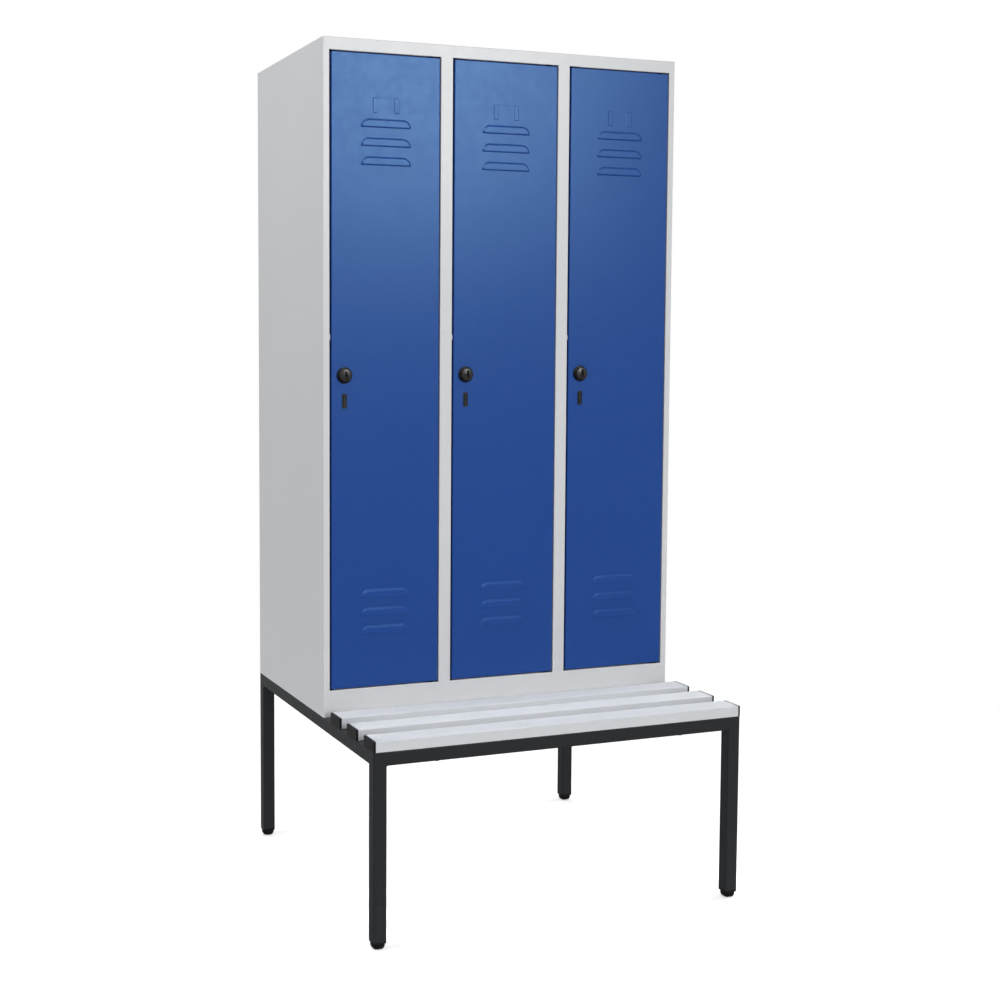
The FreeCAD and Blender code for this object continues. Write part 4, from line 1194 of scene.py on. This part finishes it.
class LOCKER_OT_small_parts(PieceOperator, bpy.types.Operator):
    """Make the blanking plugs and finish the buffers, hinge pivots and bushes"""
    bl_idname = "locker.small_parts"
    bl_label = "Plugs, buffers and hinges"
    plug_corner = 0.003
    plug_edge = 0.0003
    stem_inset = 0.0011
    groove_half = 0.001
    groove_reach = 0.014
    groove_depth = 0.0024
    groove_offset = 0.0032

    def build(self, sizes):
        for bay in BAYS:
            self.plug(bay)
            dress_node(bay + "_hinge_bushes", "nylon")
        dress_node("door_buffers", "grey_plastic")
        dress_node("hinge_pivots", "zinc_steel")

    def plug(self, bay):
        low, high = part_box(bay + "_slot_plug")
        x, z = middle(bay + "_slot_plug")
        face = low.y
        edge = self.plug_edge
        stem = self.stem_inset
        levels = ((stem, high.y), (stem, FRONT), (0.0, FRONT), (0.0, face + edge), (edge, face))
        loops = [inset_loop(low, high, inset, self.plug_corner - inset) for inset, y in levels]
        shape = bmesh.new()
        loft(shape, [at_depth(loop, y) for loop, (inset, y) in zip(loops, levels)], caps=(0,))
        grooves = [upright_loop(x + side * self.groove_offset, z, self.groove_half, self.groove_reach)
                   for side in (-1, 1)]
        for groove in grooves:
            loft(shape, [at_depth(groove, y) for y in (face, face + self.groove_depth)], caps=(-1,))
        flat_face(shape, [loops[-1], *grooves], face)
        add_piece(bay + "_blanking_plug", solid(shape), "knob_plastic", bay + "_door", bay + "_slot_plug")


class LOCKER_OT_stage(bpy.types.Operator):
    """Make the pale floor, the soft lights and the camera"""
    bl_idname = "locker.stage"
    bl_label = "Stage"
    bl_options = {"REGISTER", "UNDO"}
    floor_sides = 96
    floor_cloud = Noise(2.0)
    floor_drift = 0.01
    floor_roughness = 0.9
    floor_specular = 0.1
    white = 1.0

    def execute(self, context):
        studio = context.scene.locker_studio
        context.scene.view_settings.view_transform = "Standard"
        self.floor(studio)
        self.sky(context.scene, studio)
        self.lights(context.scene, studio)
        self.camera(context.scene, studio)
        return {"FINISHED"}

    def floor(self, studio):
        shape = bmesh.new()
        bmesh.ops.create_circle(shape, cap_ends=True, segments=self.floor_sides, radius=studio.floor_radius)
        floor = workpiece(merged(shape))
        floor.name = "studio_floor"
        material, tree, shader, place = new_material("floor_paint")
        cloud = noise(tree, place, self.floor_cloud)
        tree.links.new(tinted(tree, cloud, studio.floor_paint, self.floor_drift), shader.inputs["Base Color"])
        shader.inputs["Roughness"].default_value = self.floor_roughness
        shader.inputs["Specular IOR Level"].default_value = self.floor_specular
        shader.inputs["Emission Strength"].default_value = studio.floor_glow
        reach = add_node(tree, "ShaderNodeVectorMath", {0: place}, "Value", operation="LENGTH")
        fade = add_node(tree, "ShaderNodeMapRange", {
            "Value": reach, "From Min": studio.floor_fade, "From Max": studio.floor_radius, "To Min": 1.0,
            "To Max": 0.0}, interpolation_type="SMOOTHSTEP")
        tree.links.new(fade, shader.inputs["Alpha"])
        floor.data.materials.append(material)
        floor.visible_glossy = False
        floor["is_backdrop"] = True

    def sky(self, scene, studio):
        """Even light all round, white to the camera and darker far below to glossy faces."""
        world = bpy.data.worlds.new("studio_sky")
        world.use_nodes = True
        world.cycles.sampling_method = "NONE"
        tree = world.node_tree
        ray = tree.nodes.new("ShaderNodeLightPath").outputs
        way = add_node(tree, "ShaderNodeTexCoord", output="Generated")
        facing = add_node(tree, "ShaderNodeVectorMath", {0: way, 1: studio.gloss_way}, "Value",
                          operation="DOT_PRODUCT")
        mirrored = add_node(tree, "ShaderNodeMapRange", {
            "Value": facing, "From Min": studio.gloss_from, "From Max": studio.gloss_to,
            "To Min": studio.gloss_low, "To Max": studio.gloss_high})
        first, second = MIX_NUMBERS
        light = add_node(tree, "ShaderNodeMix", {
            0: ray["Is Glossy Ray"], first: studio.sky_strength, second: mirrored}, data_type="FLOAT")
        seen = add_node(tree, "ShaderNodeMix", {
            0: ray["Is Camera Ray"], first: light, second: self.white}, data_type="FLOAT")
        background = tree.nodes["Background"].inputs
        background["Color"].default_value = (1.0, 1.0, 1.0, 1.0)
        tree.links.new(seen, background["Strength"])
        scene.world = world

    def lights(self, scene, studio):
        """Soft lights that face the doors, the body or the floor below them."""
        height = (BODY_BOTTOM + TOP) / 2
        aims = {"doors": Vector((0.0, FRONT, height)), "body": Vector((0.0, (FRONT + BACK) / 2, height))}
        down = Vector((0.0, 0.0, -1.0))
        for name, given in LIGHTS.items():
            lamp = bpy.data.lights.new(name + "_light", "AREA")
            lamp.shape = "RECTANGLE"
            lamp.size, lamp.size_y = getattr(studio, name + "_size")
            lamp.energy = getattr(studio, name + "_power")
            light = bpy.data.objects.new(lamp.name, lamp)
            light.location = getattr(studio, name + "_place")
            way = aims[given.aim] - light.location if given.aim in aims else down
            light.rotation_euler = way.to_track_quat("-Z", "Y").to_euler()
            light.visible_camera = False
            if given.hidden:
                setattr(light, "visible_" + given.hidden, False)
            scene.collection.objects.link(light)
        bpy.data.lights["bench_light"].spread = studio.bench_spread

    def camera(self, scene, studio):
        data = bpy.data.cameras.new("photo_camera")
        data.lens = studio.camera_lens
        data.shift_x = studio.camera_shift_x
        data.shift_y = studio.camera_shift_y
        camera = bpy.data.objects.new("photo_camera", data)
        camera.location = studio.camera_place
        camera.rotation_euler = (QUARTER + studio.camera_tilt, 0.0, -studio.camera_pan)
        scene.collection.objects.link(camera)
        scene.camera = camera


class LOCKER_PT_panel(bpy.types.Panel):
    """Lists the pieces of the locker and their sizes and finishes"""
    bl_idname = "LOCKER_PT_panel"
    bl_label = "Locker with bench"
    bl_space_type = "VIEW_3D"
    bl_region_type = "UI"
    bl_category = "Locker"

    def draw(self, context):
        for operator in OPERATORS:
            self.layout.operator(operator.bl_idname)
        for name, kind in GROUPS.items():
            column = self.layout.box().column()
            for key in kind.__annotations__:
                column.prop(getattr(context.scene, name), key)


OPERATORS = (LOCKER_OT_stage, LOCKER_OT_underframe, LOCKER_OT_feet, LOCKER_OT_bench, LOCKER_OT_screws,
             LOCKER_OT_body, LOCKER_OT_inside, LOCKER_OT_doors, LOCKER_OT_locks, LOCKER_OT_small_parts)
GROUPS = {"locker_sizes": LockerSizes, "locker_finish": LockerFinish, "locker_studio": LockerStudio}
CLASSES = (*GROUPS.values(), *OPERATORS, LOCKER_PT_panel)


def register():
    for kind in CLASSES:
        bpy.utils.register_class(kind)
    for name, group in GROUPS.items():
        setattr(bpy.types.Scene, name, bpy.props.PointerProperty(type=group))


def unregister():
    for name in GROUPS:
        delattr(bpy.types.Scene, name)
    for kind in reversed(CLASSES):
        bpy.utils.unregister_class(kind)


def write_size():
    """Gathers the CAD box and the visual model's box as lists of corners; the result is not kept."""
    boxes = {"cad": CAD_BOX, "visual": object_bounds()}
    {key: [list(corner) for corner in box] for key, box in boxes.items()}


def main():
    register()
    for operator in OPERATORS:
        group, name = operator.bl_idname.split(".")
        getattr(getattr(bpy.ops, group), name)()
    write_size()


if __name__ == "__main__":
    main()
